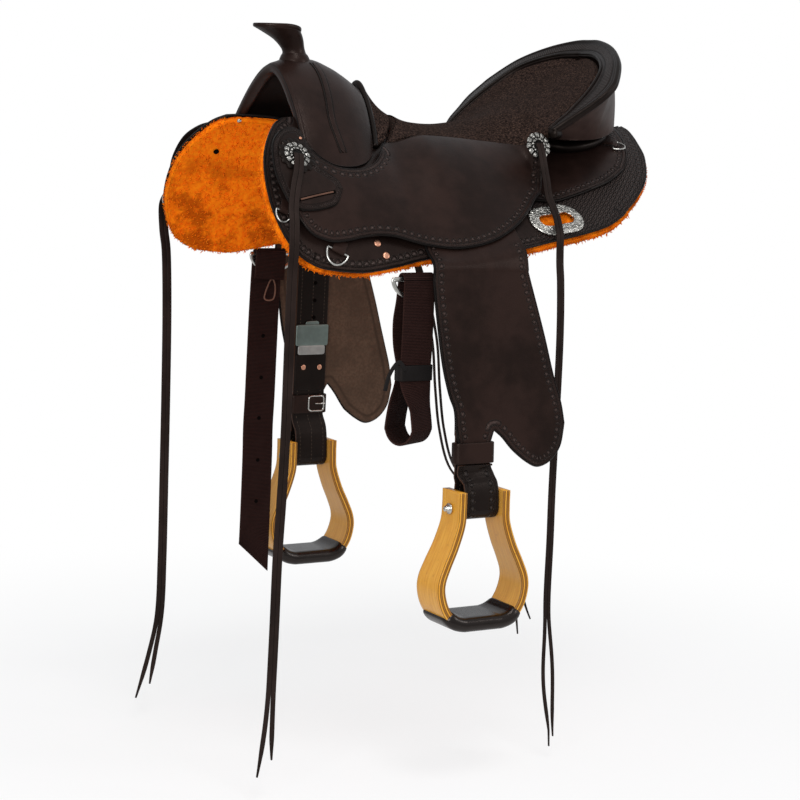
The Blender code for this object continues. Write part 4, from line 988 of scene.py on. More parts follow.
def buildFleece():
    low, high = panels["fleeceHeights"]
    over = panels["fleeceOver"]
    for label, side in sides:
        flat = panelGrid("skirt", 241, 101)
        flat = flat * np.array([1 + over / .35, 1.0])
        flat[..., 1] = np.maximum(flat[..., 1], -.028)
        flat[..., 1] += over * np.clip(flat[..., 1] / .17, 0, 1)
        x, s = flat[..., 0], flat[..., 1]
        around = onSide(back(x, s, (low + high) / 2), side)
        rough = lumps(around, .014, 3) + .6 * lumps(around, .006, 4)
        middle = onSide(back(x, s, (low + high) / 2 - .0005 + .0009 * rough), side)
        thick = high - low - .0016 + .0016 * rough
        worn = np.clip((s - .07) / .1, 0, 1) + .1
        # wool: painted shade in the hollows of the pad, no tips, and the darker patches further down the
        # side
        wool = np.stack([np.clip(-.6 * rough, 0, 1), 0 * x, np.clip(worn, 0, 1)], -1)
        slab = sheetGrid(f"{label}_fleece_pad", middle, thick, (0, side, .8), looks["fleece"],
                         {"wool": wool}, steps=6, bulge=.45, node=f"{label}_fleece", slot="fleece")
        pick = rng.uniform(0, 1, (panels["tufts"], 2)) * (np.array(x.shape) - 1.001)
        i, j = pick.astype(int).T
        share = (pick - pick.astype(int))[:, None]
        place = (flat[i, j] + (flat[i + 1, j] - flat[i, j]) * share[:, :, 0]
                 + (flat[i, j + 1] - flat[i, j]) * share[:, :, 1])
        roots = onSide(back(place[:, 0], place[:, 1], low + .0012), side)
        inward = unit(roots - onSide(back(place[:, 0], place[:, 1], 0.0), side))
        tuftMesh(f"{label}_fleece_curls", roots, inward, panels["tuftLength"], .0011,
                 node=f"{label}_fleece")
        edges = [(flat[:, -1], flat[:, -2]), (flat[0], flat[1]), (flat[-1], flat[-2])]
        roots, ways = [], []
        for border, inside in edges:
            part = .55 if len(border) > 150 else .225
            at = rng.uniform(0, len(border) - 1.001, int(panels["edgeTufts"] * part))
            k = at.astype(int)
            spot = border[k] + (border[k + 1] - border[k]) * (at - k)[:, None]
            inner = inside[k] + (inside[k + 1] - inside[k]) * (at - k)[:, None]
            h = rng.uniform(low + .002, high - .001, len(k))
            roots.append(onSide(back(*(spot * .9 + inner * .1).T, h), side))
            ways.append(unit(onSide(back(*spot.T, h), side) - onSide(back(*inner.T, h), side)))
        tuftMesh(f"{label}_fleece_fringe", np.concatenate(roots), np.concatenate(ways), .0021, .0006,
                 node=f"{label}_fleece")


def stadium(halfLength, radius, count):
    turns = np.linspace(-math.pi / 2, math.pi / 2, count)
    right = np.stack([halfLength - radius + radius * np.cos(turns), radius * np.sin(turns)], -1)
    return np.concatenate([right, -right])


def buildSlotPlates():
    # a stadium ring whose section is a low dome with a rolled inner edge
    work = panels["slotPlate"]
    for label, side in sides:
        here, along, down, out = slotFrame(side)
        outer, inner = stadium(*work["outer"], 33), stadium(*work["inner"], 33)
        profile = np.array([(0, .0008), (0, .0022), (.03, .0029), (.1, .0034), (.45, .0036), (.88, .0034),
                            (.95, .0042), (1.0, .0036), (1.0, .0008)])
        flat = outer[:, None] + (inner - outer)[:, None] * profile[None, :, :1]
        sections = here + flat[..., :1] * along + flat[..., 1:] * down + profile[None, :, 1:] * out
        sweep(f"{label}_slot_plate_steel", sections, looks["engraved"], ring=True,
              node=f"{label}_slot_plate", slot="steel")


buildPanels()
buildFleece()
buildSlotPlates()
print("panels laid")


# seat, its leather lip and the seat jockeys

seatShape = dict(
    centre=[(-.08, .064), (-.062, .0565), (-.04, .052), (0, .05), (.035, .053), (.07, .0595),
            (.1, .067), (.124, .075), (.142, .0825), (.16, .09), (.178, .0985), (.202, .112),
            (.222, .126), (.24, .139), (.254, .149), (.261, .1545)],
    edge=[(-.128, .088, .0165), (-.101, .085, .029), (-.068, .083, .0336), (-.019, .083, .032),
          (.029, .085, .028), (.0735, .092, .0245), (.0973, .106, .0245), (.11, .119, .0325),
          (.119, .135, .048), (.13, .1393, .058), (.15, .1416, .075), (.186, .135, .1055),
          (.218, .1156, .133), (.238, .085, .148), (.255, .045, .157), (.262, .008, .1585)],
    foam=.022, fill=.75)
jockeyShape = dict(
    scoop=[(-.298, .07), (-.284, .072), (-.266, .098), (-.248, .11), (-.228, .114), (-.2, .11),
           (-.175, .098), (-.157, .081), (-.145, .063)],
    low=[(-.322, .185), (-.316, .201), (-.304, .218), (-.29, .226), (-.27, .23), (-.247, .227),
         (-.223, .221), (-.197, .217), (-.174, .218), (-.151, .224), (-.126, .23), (-.091, .234),
         (-.063, .232), (-.034, .226), (-.004, .214), (.031, .192), (.061, .165), (.084, .14)],
    lift=[(0, .013), (14, .013), (16, .0145), (17, .017)],
    tip=[(.1, .156, -.04), (.104, .152, -.015), (.1035, .1475, .011)], height=.013, thick=.004)
lipShape = dict(half=.097, top=(-.123, .108), foot=(-.143, .0175), thick=.0075)


def seatSurface(rows, cols, reach=1.0):
    # each row is a curve x, z = powers of the share across, from the centre line to the edge
    centre = spline([(x, 0, z) for x, z in seatShape["centre"]], rows)[:, None]
    edge = spline(seatShape["edge"], rows)[:, None]
    v = np.linspace(-reach, reach, cols)[None, :]
    power = np.linspace(2.3, 2.0, rows)[:, None]
    x = centre[..., 0] + (edge[..., 0] - centre[..., 0]) * v ** 2
    z = centre[..., 2] + (edge[..., 2] - centre[..., 2]) * np.abs(v) ** power
    return np.stack([x, edge[..., 1] * v, z], -1)


def heightOver(points, h, inner=0.0):
    # height of the layer h over the back under each point; its s is found by halving
    x, y = points[..., 0], np.abs(points[..., 1])
    first, last = np.full(x.shape, inner), np.full(x.shape, .26)
    for _ in range(14):
        middle = (first + last) / 2
        beyond = back(x, middle, h)[..., 1] > y
        first, last = np.where(beyond, first, middle), np.where(beyond, middle, last)
    return back(x, (first + last) / 2, h)[..., 2]


def clearOfBack(points, h, inner=0.0):
    rise = h + np.interp(points[..., 0], [.07, .078], [0, .0051])
    points[..., 2] = np.maximum(points[..., 2], heightOver(points, rise, inner))


def buildSeat():
    rows = 141
    top = seatSurface(rows, 101)
    top[..., 2] += .0006 * lumps(top, .035, 11)
    thick = np.interp(np.linspace(0, 15, rows), [0, 6, 9, 15], [seatShape["foam"]] * 2 + [.012, .007])
    low = top.copy()
    low[..., 2] -= thick[:, None]
    clearOfBack(low, .0056)
    seat = pad("seat_suede", top, low, (0, 0, 1), looks["suede"], steps=8, bulge=.35,
               node="seat", slot="suede")


def jockeyGrid(count, down):
    lift = smoothLine(jockeyShape["lift"])(np.arange(len(jockeyShape["low"])))
    low = spline(np.concatenate([overBack(jockeyShape["low"], lift), jockeyShape["tip"]]), count)
    share = np.linspace(0, 1, count)
    lowS = np.interp(np.linspace(0, 20, count), range(18), [s for x, s in jockeyShape["low"]])
    lowAngle = slopeAt(low[:, 0], lowS)
    lowAngle = np.where(share > .84, np.radians(np.interp(share, [.84, .92, 1], [46, 62, 68])), lowAngle)
    scoop = overBack(jockeyShape["scoop"], jockeyShape["height"])
    suede = [(x, y + .0028, z - .0012) for x, y, z in seatShape["edge"][:7]]
    suede += [(.11, .125, .033), (.115, .1335, .04)]
    high = even(np.concatenate([scoop, suede]), count)
    highAngle = np.radians(np.interp(share, [0, .25, .42, .52, .86, .94, 1], [48, 54, 38, 20, 24, 50, 66]))
    weights = np.hanning(43)
    lowAngle, highAngle = [np.convolve(np.pad(a, 20, mode="edge"), weights[1:-1] / weights.sum(), "valid")
                           for a in (lowAngle, highAngle)]
    reach = np.linalg.norm(low - high, axis=1)[:, None] * .36
    start = np.stack([0 * share, np.cos(highAngle), -np.sin(highAngle)], -1) * reach
    end = np.stack([0 * share, np.cos(lowAngle), -np.sin(lowAngle)], -1) * reach
    v = shareAcross(down)
    draped = ((1 - v) ** 3 * high[:, None] + 3 * (1 - v) ** 2 * v * (high + start)[:, None]
              + 3 * (1 - v) * v * v * (low - end)[:, None] + v ** 3 * low[:, None])
    # in front it lies flat over the skirt; behind the scoop it hangs from the seat's edge
    lowFlat = spline(jockeyShape["low"] + [jockeyShape["low"][-1]] * 3, count)[:, None]
    highFlat = np.array([(x, sideDistance(x, y, jockeyShape["height"])) for x, y, z in high])[:, None]
    flat = highFlat * (1 - v) + lowFlat * v
    lying = back(flat[..., 0], flat[..., 1], jockeyShape["height"])
    weight = smooth((-.062 - high[:, 0]) / .095)[:, None, None]
    return lying * weight + draped * (1 - weight)


def buildJockeys():
    for label, side in sides:
        grid = onSide(jockeyGrid(201, 61), side)
        middle = grid + facing(grid, (0, side, .6)) * jockeyShape["thick"] / 2
        # the border runs along its low edge, its rear end and the scoop, the first 78 rows
        rim = rimOf(middle, [middle[:, -1], middle[-1], middle[:78, 0]])
        sheetGrid(f"{label}_seat_jockey_leather", middle, jockeyShape["thick"], (0, side, .6),
                  looks["tooled"], {"rim": rim}, node=f"{label}_seat_jockey")


def buildLip():
    v = np.linspace(-1, 1, 121)
    arch = (np.sqrt(v * v + .02) - math.sqrt(.02)) / (math.sqrt(1.02) - math.sqrt(.02))
    top, foot = lipShape["top"], lipShape["foot"]
    crest = np.stack([top[0] + (foot[0] - top[0]) * v ** 2, lipShape["half"] * v,
                      top[1] + (foot[1] - top[1]) * arch], -1)
    base = seatSurface(20, 121, reach=.985)[0] + np.array([-.0012, 0, -.0008])
    u = shareAcross(25)
    sag = np.array([0.0, 0.0, -.006]) * np.sin(math.pi * u)
    grid = crest[:, None] * (1 - u) + base[:, None] * u + sag * (1 - np.abs(v))[:, None, None]
    normal = facing(grid, (.6, 0, .8))
    low = grid - normal * lipShape["thick"]
    clearOfBack(grid, .0075)
    clearOfBack(low, .0054)
    pad("seat_lip_suede", grid, low, (.6, 0, .8), looks["suede"], steps=7, node="seat_lip",
        slot="suede")
    path = (grid[:, 0] + low[:, 0]) / 2
    sections = roundTube(path, 1.0, normal[:, 0], 16)
    ways = sections - path[:, None]
    up = (ways * normal[:, :1]).sum(-1, keepdims=True) * normal[:, :1]
    sections = path[:, None] + up * (lipShape["thick"] / 2 + .001) + (ways - up) * .005
    sweep("seat_lip_binding", sections, looks["black"], node="seat_lip")


buildSeat()
buildJockeys()
buildLip()
print("seat made")


# fork and horn

forkShape = dict(
    foot=[(-.276, .0645), (-.263, .0885), (-.2465, .102), (-.228, .107), (-.201, .103), (-.179, .092),
          (-.163, .077), (-.153, .062)],
    ridge=[(-.268, .129), (-.256, .134), (-.238, .1385), (-.205, .1375), (-.18, .129),
           (-.163, .1205), (-.146, .11), (-.134, .102)],
    height=.0084, thick=.003, weltWidth=.0078, weltHeight=.0027, seam=(.0028, .0012),
    welt=[(2.839, .167), (2.956, .356), (2.956, .556), (2.917, .728), (3.15, .839), (3.383, .922)],
    horn=[(-.229, .129, .0235, .0228), (-.229, .136, .0222, .0216), (-.2292, .142, .0196, .019),
          (-.23, .146, .017, .0165), (-.233, .153, .0175, .0165), (-.24, .164, .0225, .0195),
          (-.25, .1735, .03, .024), (-.258, .18, .0355, .0275)],
    cap=[(.0012, .9), (.0014, .975), (.0024, 1.005), (.0044, 1.018), (.0062, 1.018), (.0076, 1.008),
         (.0086, .985), (.0088, .955), (.0083, .93), (.0086, .9), (.0092, .8), (.0096, .55), (.0098, .25)])


def forkAt(row, v):
    # the fork's skin: row runs over its knots from 0 to 7, v across it; the height falls from
    # the ridge as a power of the share across
    foot = overBack(forkShape["foot"], forkShape["height"])
    ridge = np.array(forkShape["ridge"])
    row, v = np.broadcast_arrays(np.asarray(row, float), np.asarray(v, float))
    footX, footY, footZ, ridgeX, ridgeZ = [smoothLine(list(enumerate(column)))(row)
                                           for column in (*foot.T, *ridge.T)]
    share = np.abs(v)
    x = ridgeX + (footX - ridgeX) * share ** 1.6
    z = ridgeZ + (footZ - ridgeZ) * share ** (1.7 + row / 35)
    return np.stack([x, footY * v, z], -1)


def forkNormal(row, v):
    step = .01
    a = forkAt(row + step, v) - forkAt(row - step, v)
    b = forkAt(row, v + step) - forkAt(row, v - step)
    normal = unit(np.cross(a, b))
    return normal * np.sign(normal[..., 2:])


def buildFork():
    rows = np.linspace(0, 7, 101)[:, None]
    across = np.linspace(-1, 1, 201)[None]
    skin = forkAt(rows, across)
    skin[..., 2] += .0004 * lumps(skin, .03, 21)
    low = skin - facing(skin, (0, 0, 1)) * forkShape["thick"]
    clearOfBack(low, .0054)
    pad("fork_leather", skin, low, (0, 0, 1), looks["fork"], steps=5, node="fork_cover")
    for label, side in sides:
        # a raised seam, half round, lying on the skin
        line = even(forkShape["welt"], 90)
        row, v = line[:, 0], line[:, 1] * side
        normal = forkNormal(row, v)
        path = forkAt(row, v) + normal * .0002
        taper = np.minimum(np.linspace(0, 12, 90), np.linspace(12, 0, 90)) + .3
        width = forkShape["weltWidth"] * np.clip(taper, 0, 1)
        band(f"{label}_fork_welt", path, normal, width, forkShape["weltHeight"], looks["fork"],
             corner=.0009, node="fork_cover")
        # dark bands along both sides of the welt: painted shade in the creases beside it
        for where, gap in (("front", -1), ("rear", 1)):
            ways = unit(np.cross(tangents(path), normal))
            creaseShade = path + ways * gap * forkShape["weltWidth"] * .66 + normal * .0001
            band(f"{label}_fork_seam_{where}", creaseShade, normal, *forkShape["seam"], looks["black"],
                 corner=.0005, node="fork_cover")
    low = np.linspace(-.75, .75, 121)[None]
    under = forkAt(np.linspace(0, 7, 61)[:, None], low)
    normal = facing(under, (0, 0, 1))
    crown = (.003 + .0066 * (1 - np.abs(low) / .75) ** 2)[..., None] + 0 * under[..., :1]
    pad("pommel_arch", under - normal * .0036, under - normal * (.0036 + crown), (0, 0, 1),
        looks["black"], node="pommel_insert", slot="board")
    pad("gullet_leather", under - normal * (.0042 + crown), under - normal * (.006 + crown), (0, 0, 1),
        looks["black"], node="gullet_lining", slot="black_leather")
    # the leather rolls over the arch's front edge: round sections just inside the skin
    v = np.linspace(-.985, .985, 161)
    radius = np.interp(np.abs(v), [0, .6, .985], [.0092, .0084, .0052])[:, None]
    on = .42 + 0 * v
    path = forkAt(on, v) - forkNormal(on, v) * (radius - .0004)
    along = tangents(path)
    out = unit(forkNormal(on, v) - along * (forkNormal(on, v) * along).sum(1, keepdims=True))
    circle = ovals(path, out * radius, np.cross(along, out) * radius, 24)
    sweep("fork_front_roll", circle, looks["fork"], node="fork_cover")


def buildHorn():
    # oval rings that lean forward, under a thick oval cap with a thin raised rim
    turn = roundAngles(64)
    x, z, longR, wideR = [column[:, None] for column in spline(forkShape["horn"], 40).T]
    sections = np.stack([x + longR * np.cos(turn), wideR * np.sin(turn),
                         z - (z - .14) * .02 * np.cos(turn)
                         - .005 * np.clip(np.cos(turn), 0, 1) ** 2 * np.clip((z - .163) / .017, 0, 1)], -1)
    sweep("horn_neck_leather", sections, looks["fork"], node="horn_neck")
    top = sections[-1]
    centre = top.mean(0)
    rise, grow = [column[:, None, None] for column in spline(forkShape["cap"], 60).T]
    thin = (.84 + .12 * np.cos(turn))[None, :, None]
    cap = centre + (top - centre) * grow + alongZ * (rise * thin - .0014)
    sweep("horn_cap_leather", cap, looks["fork"], node="horn_cap")


buildFork()
buildHorn()
print("fork and horn made")


# cantle

cantleShape = dict(
    rim=[(.121, .152, .0475), (.133, .16, .058), (.151, .168, .0715), (.176, .179, .091),
         (.198, .18, .108), (.215, .172, .124), (.242, .1375, .152), (.265, .087, .172),
         (.279, .035, .1825), (.282, 0, .184)],
    foot=[(.14, .1, .036), (.19, .112, .034), (.24, .095, .036), (.285, .065, .045),
          (.312, .03, .058), (.322, 0, .062)],
    roll=[(.178, .036, 0), (.191, .046, 0), (.207, .0545, 0), (.232, .0576, 0),
          (.263, .0525, 0), (.284, .0385, 0), (.296, .018, 0), (.299, 0, 0)],
    rollFloor=(.0104, -.036), piping=.0022, corner=(.119, .1365, .048), middle=(.263, 0, .159),
    seatMiddle=(.17, 0, 0))


def mirrorPath(half, count):
    half = np.asarray(half, float)
    return even(np.concatenate([half * [1, -1, 1], half[-2::-1]]), count)


def rimFrames(count):
    rim = mirrorPath(cantleShape["rim"], count)
    seatEdge = [(x, y + .0006, z) for x, y, z in seatShape["edge"][9:]]
    inner = mirrorPath([cantleShape["corner"], *seatEdge, cantleShape["middle"]], count)
    reach = unit(rim - inner)
    face = unit(np.cross(tangents(rim), reach))
    return rim, inner, reach, face * np.sign(face[:, 2:3])


def buildCantle():
    count = 193
    rim, inner, reach, face = rimFrames(count)
    start = inner + reach * .0028
    middle = (start + rim) / 2
    knots = np.stack([start + face * .0012, middle + face * .003, rim - reach * .004 + face * .003,
                      rim + face * -.001, rim - reach * .0008 - face * .0065,
                      rim - reach * .006 - face * .009, middle - face * .0045, start - face * .004], 1)
    # the section's eight corners, rounded by a closed curve through them
    at = np.linspace(0, 8, 40, endpoint=False)
    k = np.floor(at).astype(int)
    t = (at - k)[None, :, None]
    a, b, c, d = [knots[:, (k + shift) % 8] for shift in (-1, 0, 1, 2)]
    grid = cubic(b, c, (c - a) * .38, (d - b) * .38, t)
    edge, lay = np.zeros((2, *grid.shape))
    lay[..., 0] = runLength(rim)[:, None]
    wide = np.linalg.norm(rim - start, axis=1)[:, None]
    lay[..., 1] = ((grid - start[:, None]) * reach[:, None]).sum(-1) / wide
    lay[..., 2] = np.abs(at - 1.2)[None] < 1.5
    sweep("cantle_rim_leather", grid, looks["rimBlack"], data={"lay": lay, "edge": edge},
          node="cantle_rim", slot="black_leather")
    inset = start + reach * .0022 + face * .0022
    sweep("cantle_piping", roundTube(inset, cantleShape["piping"], face), looks["black"],
          node="cantle_rim", slot="black_leather")
    outer = rim - reach * .003 + face * .0006
    sweep("cantle_edge_roll", roundTube(outer, .0036, face), looks["black"],
          node="cantle_rim", slot="black_leather")
    foot = mirrorPath(cantleShape["foot"], count)
    head = rim - reach * .014 - face * .0105
    keep = slice(2, count - 2)
    u = shareAcross(31)
    away = unit((foot[keep] - np.array(cantleShape["seatMiddle"])) * [1, 1, 0])[:, None]
    rear = np.clip(1 - np.abs(foot[keep, 1]) / .1, 0, 1)[:, None, None]
    bow = (away * .013 * rear + np.array([0, 0, -.003])) * np.sin(math.pi * u ** .8)
    wall = head[keep, None] * (1 - u) + foot[keep, None] * u + bow
    pull = np.array(cantleShape["seatMiddle"]) - wall
    pull[..., 2] = 0
    inside = wall + unit(pull) * .0042
    pad("cantle_back_leather", wall, inside, -pull.reshape(-1, 3), looks["wall"],
        node="cantle_back")
    for label, side in sides:
        knots = onSide(np.array([(.1195, .15, .044), (.13, .144, .044), (.141, .13, .042),
                                 (.148, .112, .04), (.154, .094, .039)]), side)
        path = even(knots, 40)
        sweep(f"{label}_cantle_corner", roundTube(path, .0078, alongZ + 0 * path), looks["black"],
              node="cantle_back", slot="black_leather")
    line = mirrorPath(cantleShape["roll"], 121)
    line[:, 2] = heightOver(line, *cantleShape["rollFloor"]) + .0085
    roll = ovals(line, np.cross(tangents(line), alongZ) * .01, alongZ * .008 + 0 * line, 24)
    roll[..., 2] = np.maximum(roll[..., 2], heightOver(roll, *cantleShape["rollFloor"]))
    sweep("cantle_base_leather", roll, looks["black"], node="cantle_base_roll",
          slot="black_leather")


buildCantle()
print("cantle made")


# conchos, rosettes and dees

# dees: place over the back, tilt, width, drop and the wire's radius
fittings = dict(
    concho=.0195, conchoPetals=12, conchoRise=.0036, conchoFront=(-.302, .108, .022),
    conchoRear=(.0975, .1465, .025), conchoFace=(0.0, .9, .35),
    dees=dict(front=((-.3345, .186, .007), 20, .022, .016, .0013),
              lower=((-.262, .239, .0072), 25, .032, .021, .0015),
              rear=((.293, .025, .0122), -35, .021, .016, .0013)),
    rivets=(("small", (-.287, .0791, .021), .0024), ("front", (-.199, .223, .005), .0052),
            ("lower", (-.19, .241, .005), .0052)),
    thong=((-.3163, .1752), (-.2551, .1584)),
    # the strip that folds round a dee's bar: down and out of the bar's middle
    tab=((-.017, .0008), (-.009, .0018), (-.002, .003), (.0024, .0016), (.0026, -.0008), (0, -.0024),
         (-.008, -.0022)),
    # a screw, and a dark disc of painted shade for a small hole, in the fleece's inner face
    underFleece=(("screw", (-.2806, .0189), .0034, "steel"), ("hole", (-.2949, .0876), .0042, "hole")))


# a rosette's section, from the middle of its back round to the middle of its face: shares of the
# radius and of the height
flower = [(0, 0), (.93, 0), (1, .2), (1, .45), (.97, .62), (.93, .75), (.88, .84), (.82, .9), (.76, .9),
          (.7, .84), (.66, .72), (.62, .62), (.58, .78), (.52, .9), (.46, .92), (.4, .86), (.36, .7),
          (.32, .6), (.28, .86), (.24, 1.02), (.18, 1.14), (.1, 1.2), (0, 1.22)]


def rosette(name, here, along, down, out, radius, finish, petals, height, lobes=.06, **keep):
    # A flower of two rings of petals round a button: the height is a dome, lowered along the
    # lines between petals; the outline is scalloped by the same petals
    turn = roundAngles(120)
    shares, rises = np.array(flower).T
    wave = np.abs(np.cos(turn * petals / 2))[None]
    inner = np.abs(np.cos(turn * petals / 2 + math.pi / 2))[None]
    outerRing = (np.clip((shares - .6) / .08, 0, 1))[:, None]
    innerRing = (np.clip((shares - .32) / .06, 0, 1))[:, None] * (1 - outerRing)
    line = outerRing * (1 - wave) ** 2.2 + innerRing * (1 - inner) ** 2.2
    rise = rises[:, None] * height * (1 - .45 * line)
    grow = shares[:, None] * radius * (1 + lobes * (wave - .6) * outerRing)
    flat = along * np.cos(turn)[:, None] + down * np.sin(turn)[:, None]
    points = here + flat[None] * grow[..., None] + out * rise[..., None]
    relief = np.zeros(points.shape)
    ditch = np.clip(1 - np.abs(shares - .62) / .05, 0, 1) + np.clip(1 - np.abs(shares - .32) / .05, 0, 1)
    relief[..., 0] = np.clip(line * 1.2 + ditch[:, None] + .75 * (shares < .44)[:, None], 0, 1)
    return sweep(name, points, finish, data={"relief": relief, "edge": 0 * points}, **keep)


def deeLoop(centre, along, down, width, drop, count=48):
    # a straight bar on top and a round bow below it
    turns = np.linspace(0, math.pi, count * 3 // 4)
    bow = (centre + along * (np.cos(turns) * width / 2)[:, None] + down * (np.sin(turns) * drop)[:, None])
    bar = centre + along * (np.linspace(-1, 1, count // 4 + 2)[1:-1] * width / 2)[:, None]
    return np.concatenate([bow, bar])


def buildFittings():
    for label, side in sides:
        here, along, down, out = localFrame(*fittings["conchoFront"], side)
        rosette(f"{label}_front_leaf", here - out * .0012, along, down, out, .0268, looks["black"], 14,
                .0024, .14, node=f"{label}_front_concho")
        rosette(f"{label}_front_concho_steel", here, along, down, out, fittings["concho"],
                looks["rosette"], fittings["conchoPetals"], fittings["conchoRise"],
                node=f"{label}_front_concho", slot="steel")
        rear = onSide(fittings["conchoRear"], side)
        out = unit(onSide(fittings["conchoFace"], side))
        rosette(f"{label}_rear_concho_steel", rear, alongX, np.cross(out, alongX), out,
                fittings["concho"], looks["rosette"], fittings["conchoPetals"], fittings["conchoRise"],
                node=f"{label}_rear_concho", slot="steel")
        for where, (place, tilt, width, drop, thick) in fittings["dees"].items():
            here, bar, hang, out = turnedFrame(place, tilt, side)
            loop = deeLoop(here, bar, hang, width, drop)
            wire(f"{label}_{where}_dee_ring", loop, out, thick, looks["steel"],
                 body=f"{label}_{where}_dee_body", node=f"{label}_{where}_dee", slot="steel")
            path = even([here + (hang * a + out * b) for a, b in fittings["tab"]], 40)
            normals = np.cross(tangents(path), bar)
            normals *= np.sign((normals[:1] * out).sum())
            band(f"{label}_{where}_dee_tab", path, normals, width * .6, .0014, looks["plain"],
                 node=f"{label}_skirt")


def stud(name, place, out, radius, rise, finish, **keep):
    # a low round rivet head
    profile = [(-.0008, 0), (-.0008, radius), (rise * .45, radius), (rise * .85, radius * .8),
               (rise, radius * .45), (rise, 0)]
    return lathe(name, place, out, profile, finish, 24, **keep)


def buildRivets():
    for label, side in sides:
        for part, place, radius in fittings["rivets"]:
            here, _, _, out = localFrame(*place, side)
            stud(f"{label}_rivet_{part}", here, out, radius, .0016, looks["copper"], slot="steel",
                 node=f"{label}_skirt")
        # the slit is a dark strip of painted shade under the thong
        for part, width, lift, finish, ends in (("slit", .0052, 0, "hole", (0, 1)),
                                                ("thong", .0024, .0006, "thong", (.06, .94))):
            share = np.linspace(*ends, 40)[:, None]
            first, last = np.array(fittings["thong"])
            x, s = (first * (1 - share) + last * share).T
            path = onSide(back(x, s, .0212 + lift), side)
            normals = unit(path - onSide(back(x, s, 0.0), side))
            band(f"{label}_patch_{part}", path, normals, width, .001, looks[finish],
                 node=f"{label}_front_patch")
    for label, side in sides:
        for part, (x, s), radius, finish in fittings["underFleece"]:
            place = onSide(back(x, s, -.015), side)
            out = unit(place - onSide(back(x, s, 0.0), side))
            stud(f"{label}_fleece_{part}", place, out, radius, .0012, looks[finish], slot="steel",
                 node=f"{label}_fleece")


buildFittings()
buildRivets()
print("fittings made")


# fenders and stirrup leathers

leg = dict(
    topZ=-.15, topY=.2445, lean=.035, thick=.0048, strapWidth=.056, strapThick=.004,
    pivot=(-.05, .2255, -.118), stirrupY=.255, boltZ=dict(near=-.48, off=-.488),
    stirrupX=dict(near=-.0525, off=-.058), strapTopX=dict(near=-.0585, off=-.0625),
    drop=dict(near=0.0, off=.012), rollerR=.012, buckle=(.0115, -.4025), hobbleZ=-.403, plateZ=-.292,
    dividerX=-.045, dividerBow=.006,
    studs=((-.0128, -.3435, .0018, .0046, "copper"), (.016, -.344, .0018, .0046, "copper"),
           (.0032, -.2088, .0002, .003, "hole"), (.0032, -.2368, .0002, .003, "hole"),
           (.0032, -.264, .0002, .003, "hole")),
    left=[(-.13, -.15), (-.13, -.168), (-.122, -.2266), (-.113, -.28), (-.102, -.32),
          (-.093, -.3415), (-.0905, -.365)],
    right=[(.026, -.15), (.036, -.18), (.0555, -.239), (.0725, -.296), (.087, -.337), (.0935, -.367)],
    arc=[(.0935, -.367), (.0875, -.4), (.071, -.421), (.049, -.429), (.029, -.421), (.005, -.403),
         (-.013, -.384), (-.026, -.3735)])


def fenderY(z):
    return leg["topY"] + leg["lean"] * (leg["topZ"] - z)


def strapFrame(side):
    # along x, down the leather and out of its inner face
    return alongX, unit(np.array([0, side * leg["lean"], -1.0])), -side * alongY


def strapX(z, label):
    first, last = leg["strapTopX"][label], leg["stirrupX"][label]
    return first + (last - first) * smooth((-.421 - np.asarray(z, float)) / .025)


def hung(flat, side):
    # points (x, z) on the leaning plane of the fender
    return np.stack([flat[:, 0], side * fenderY(flat[:, 1]), flat[:, 1]], -1)


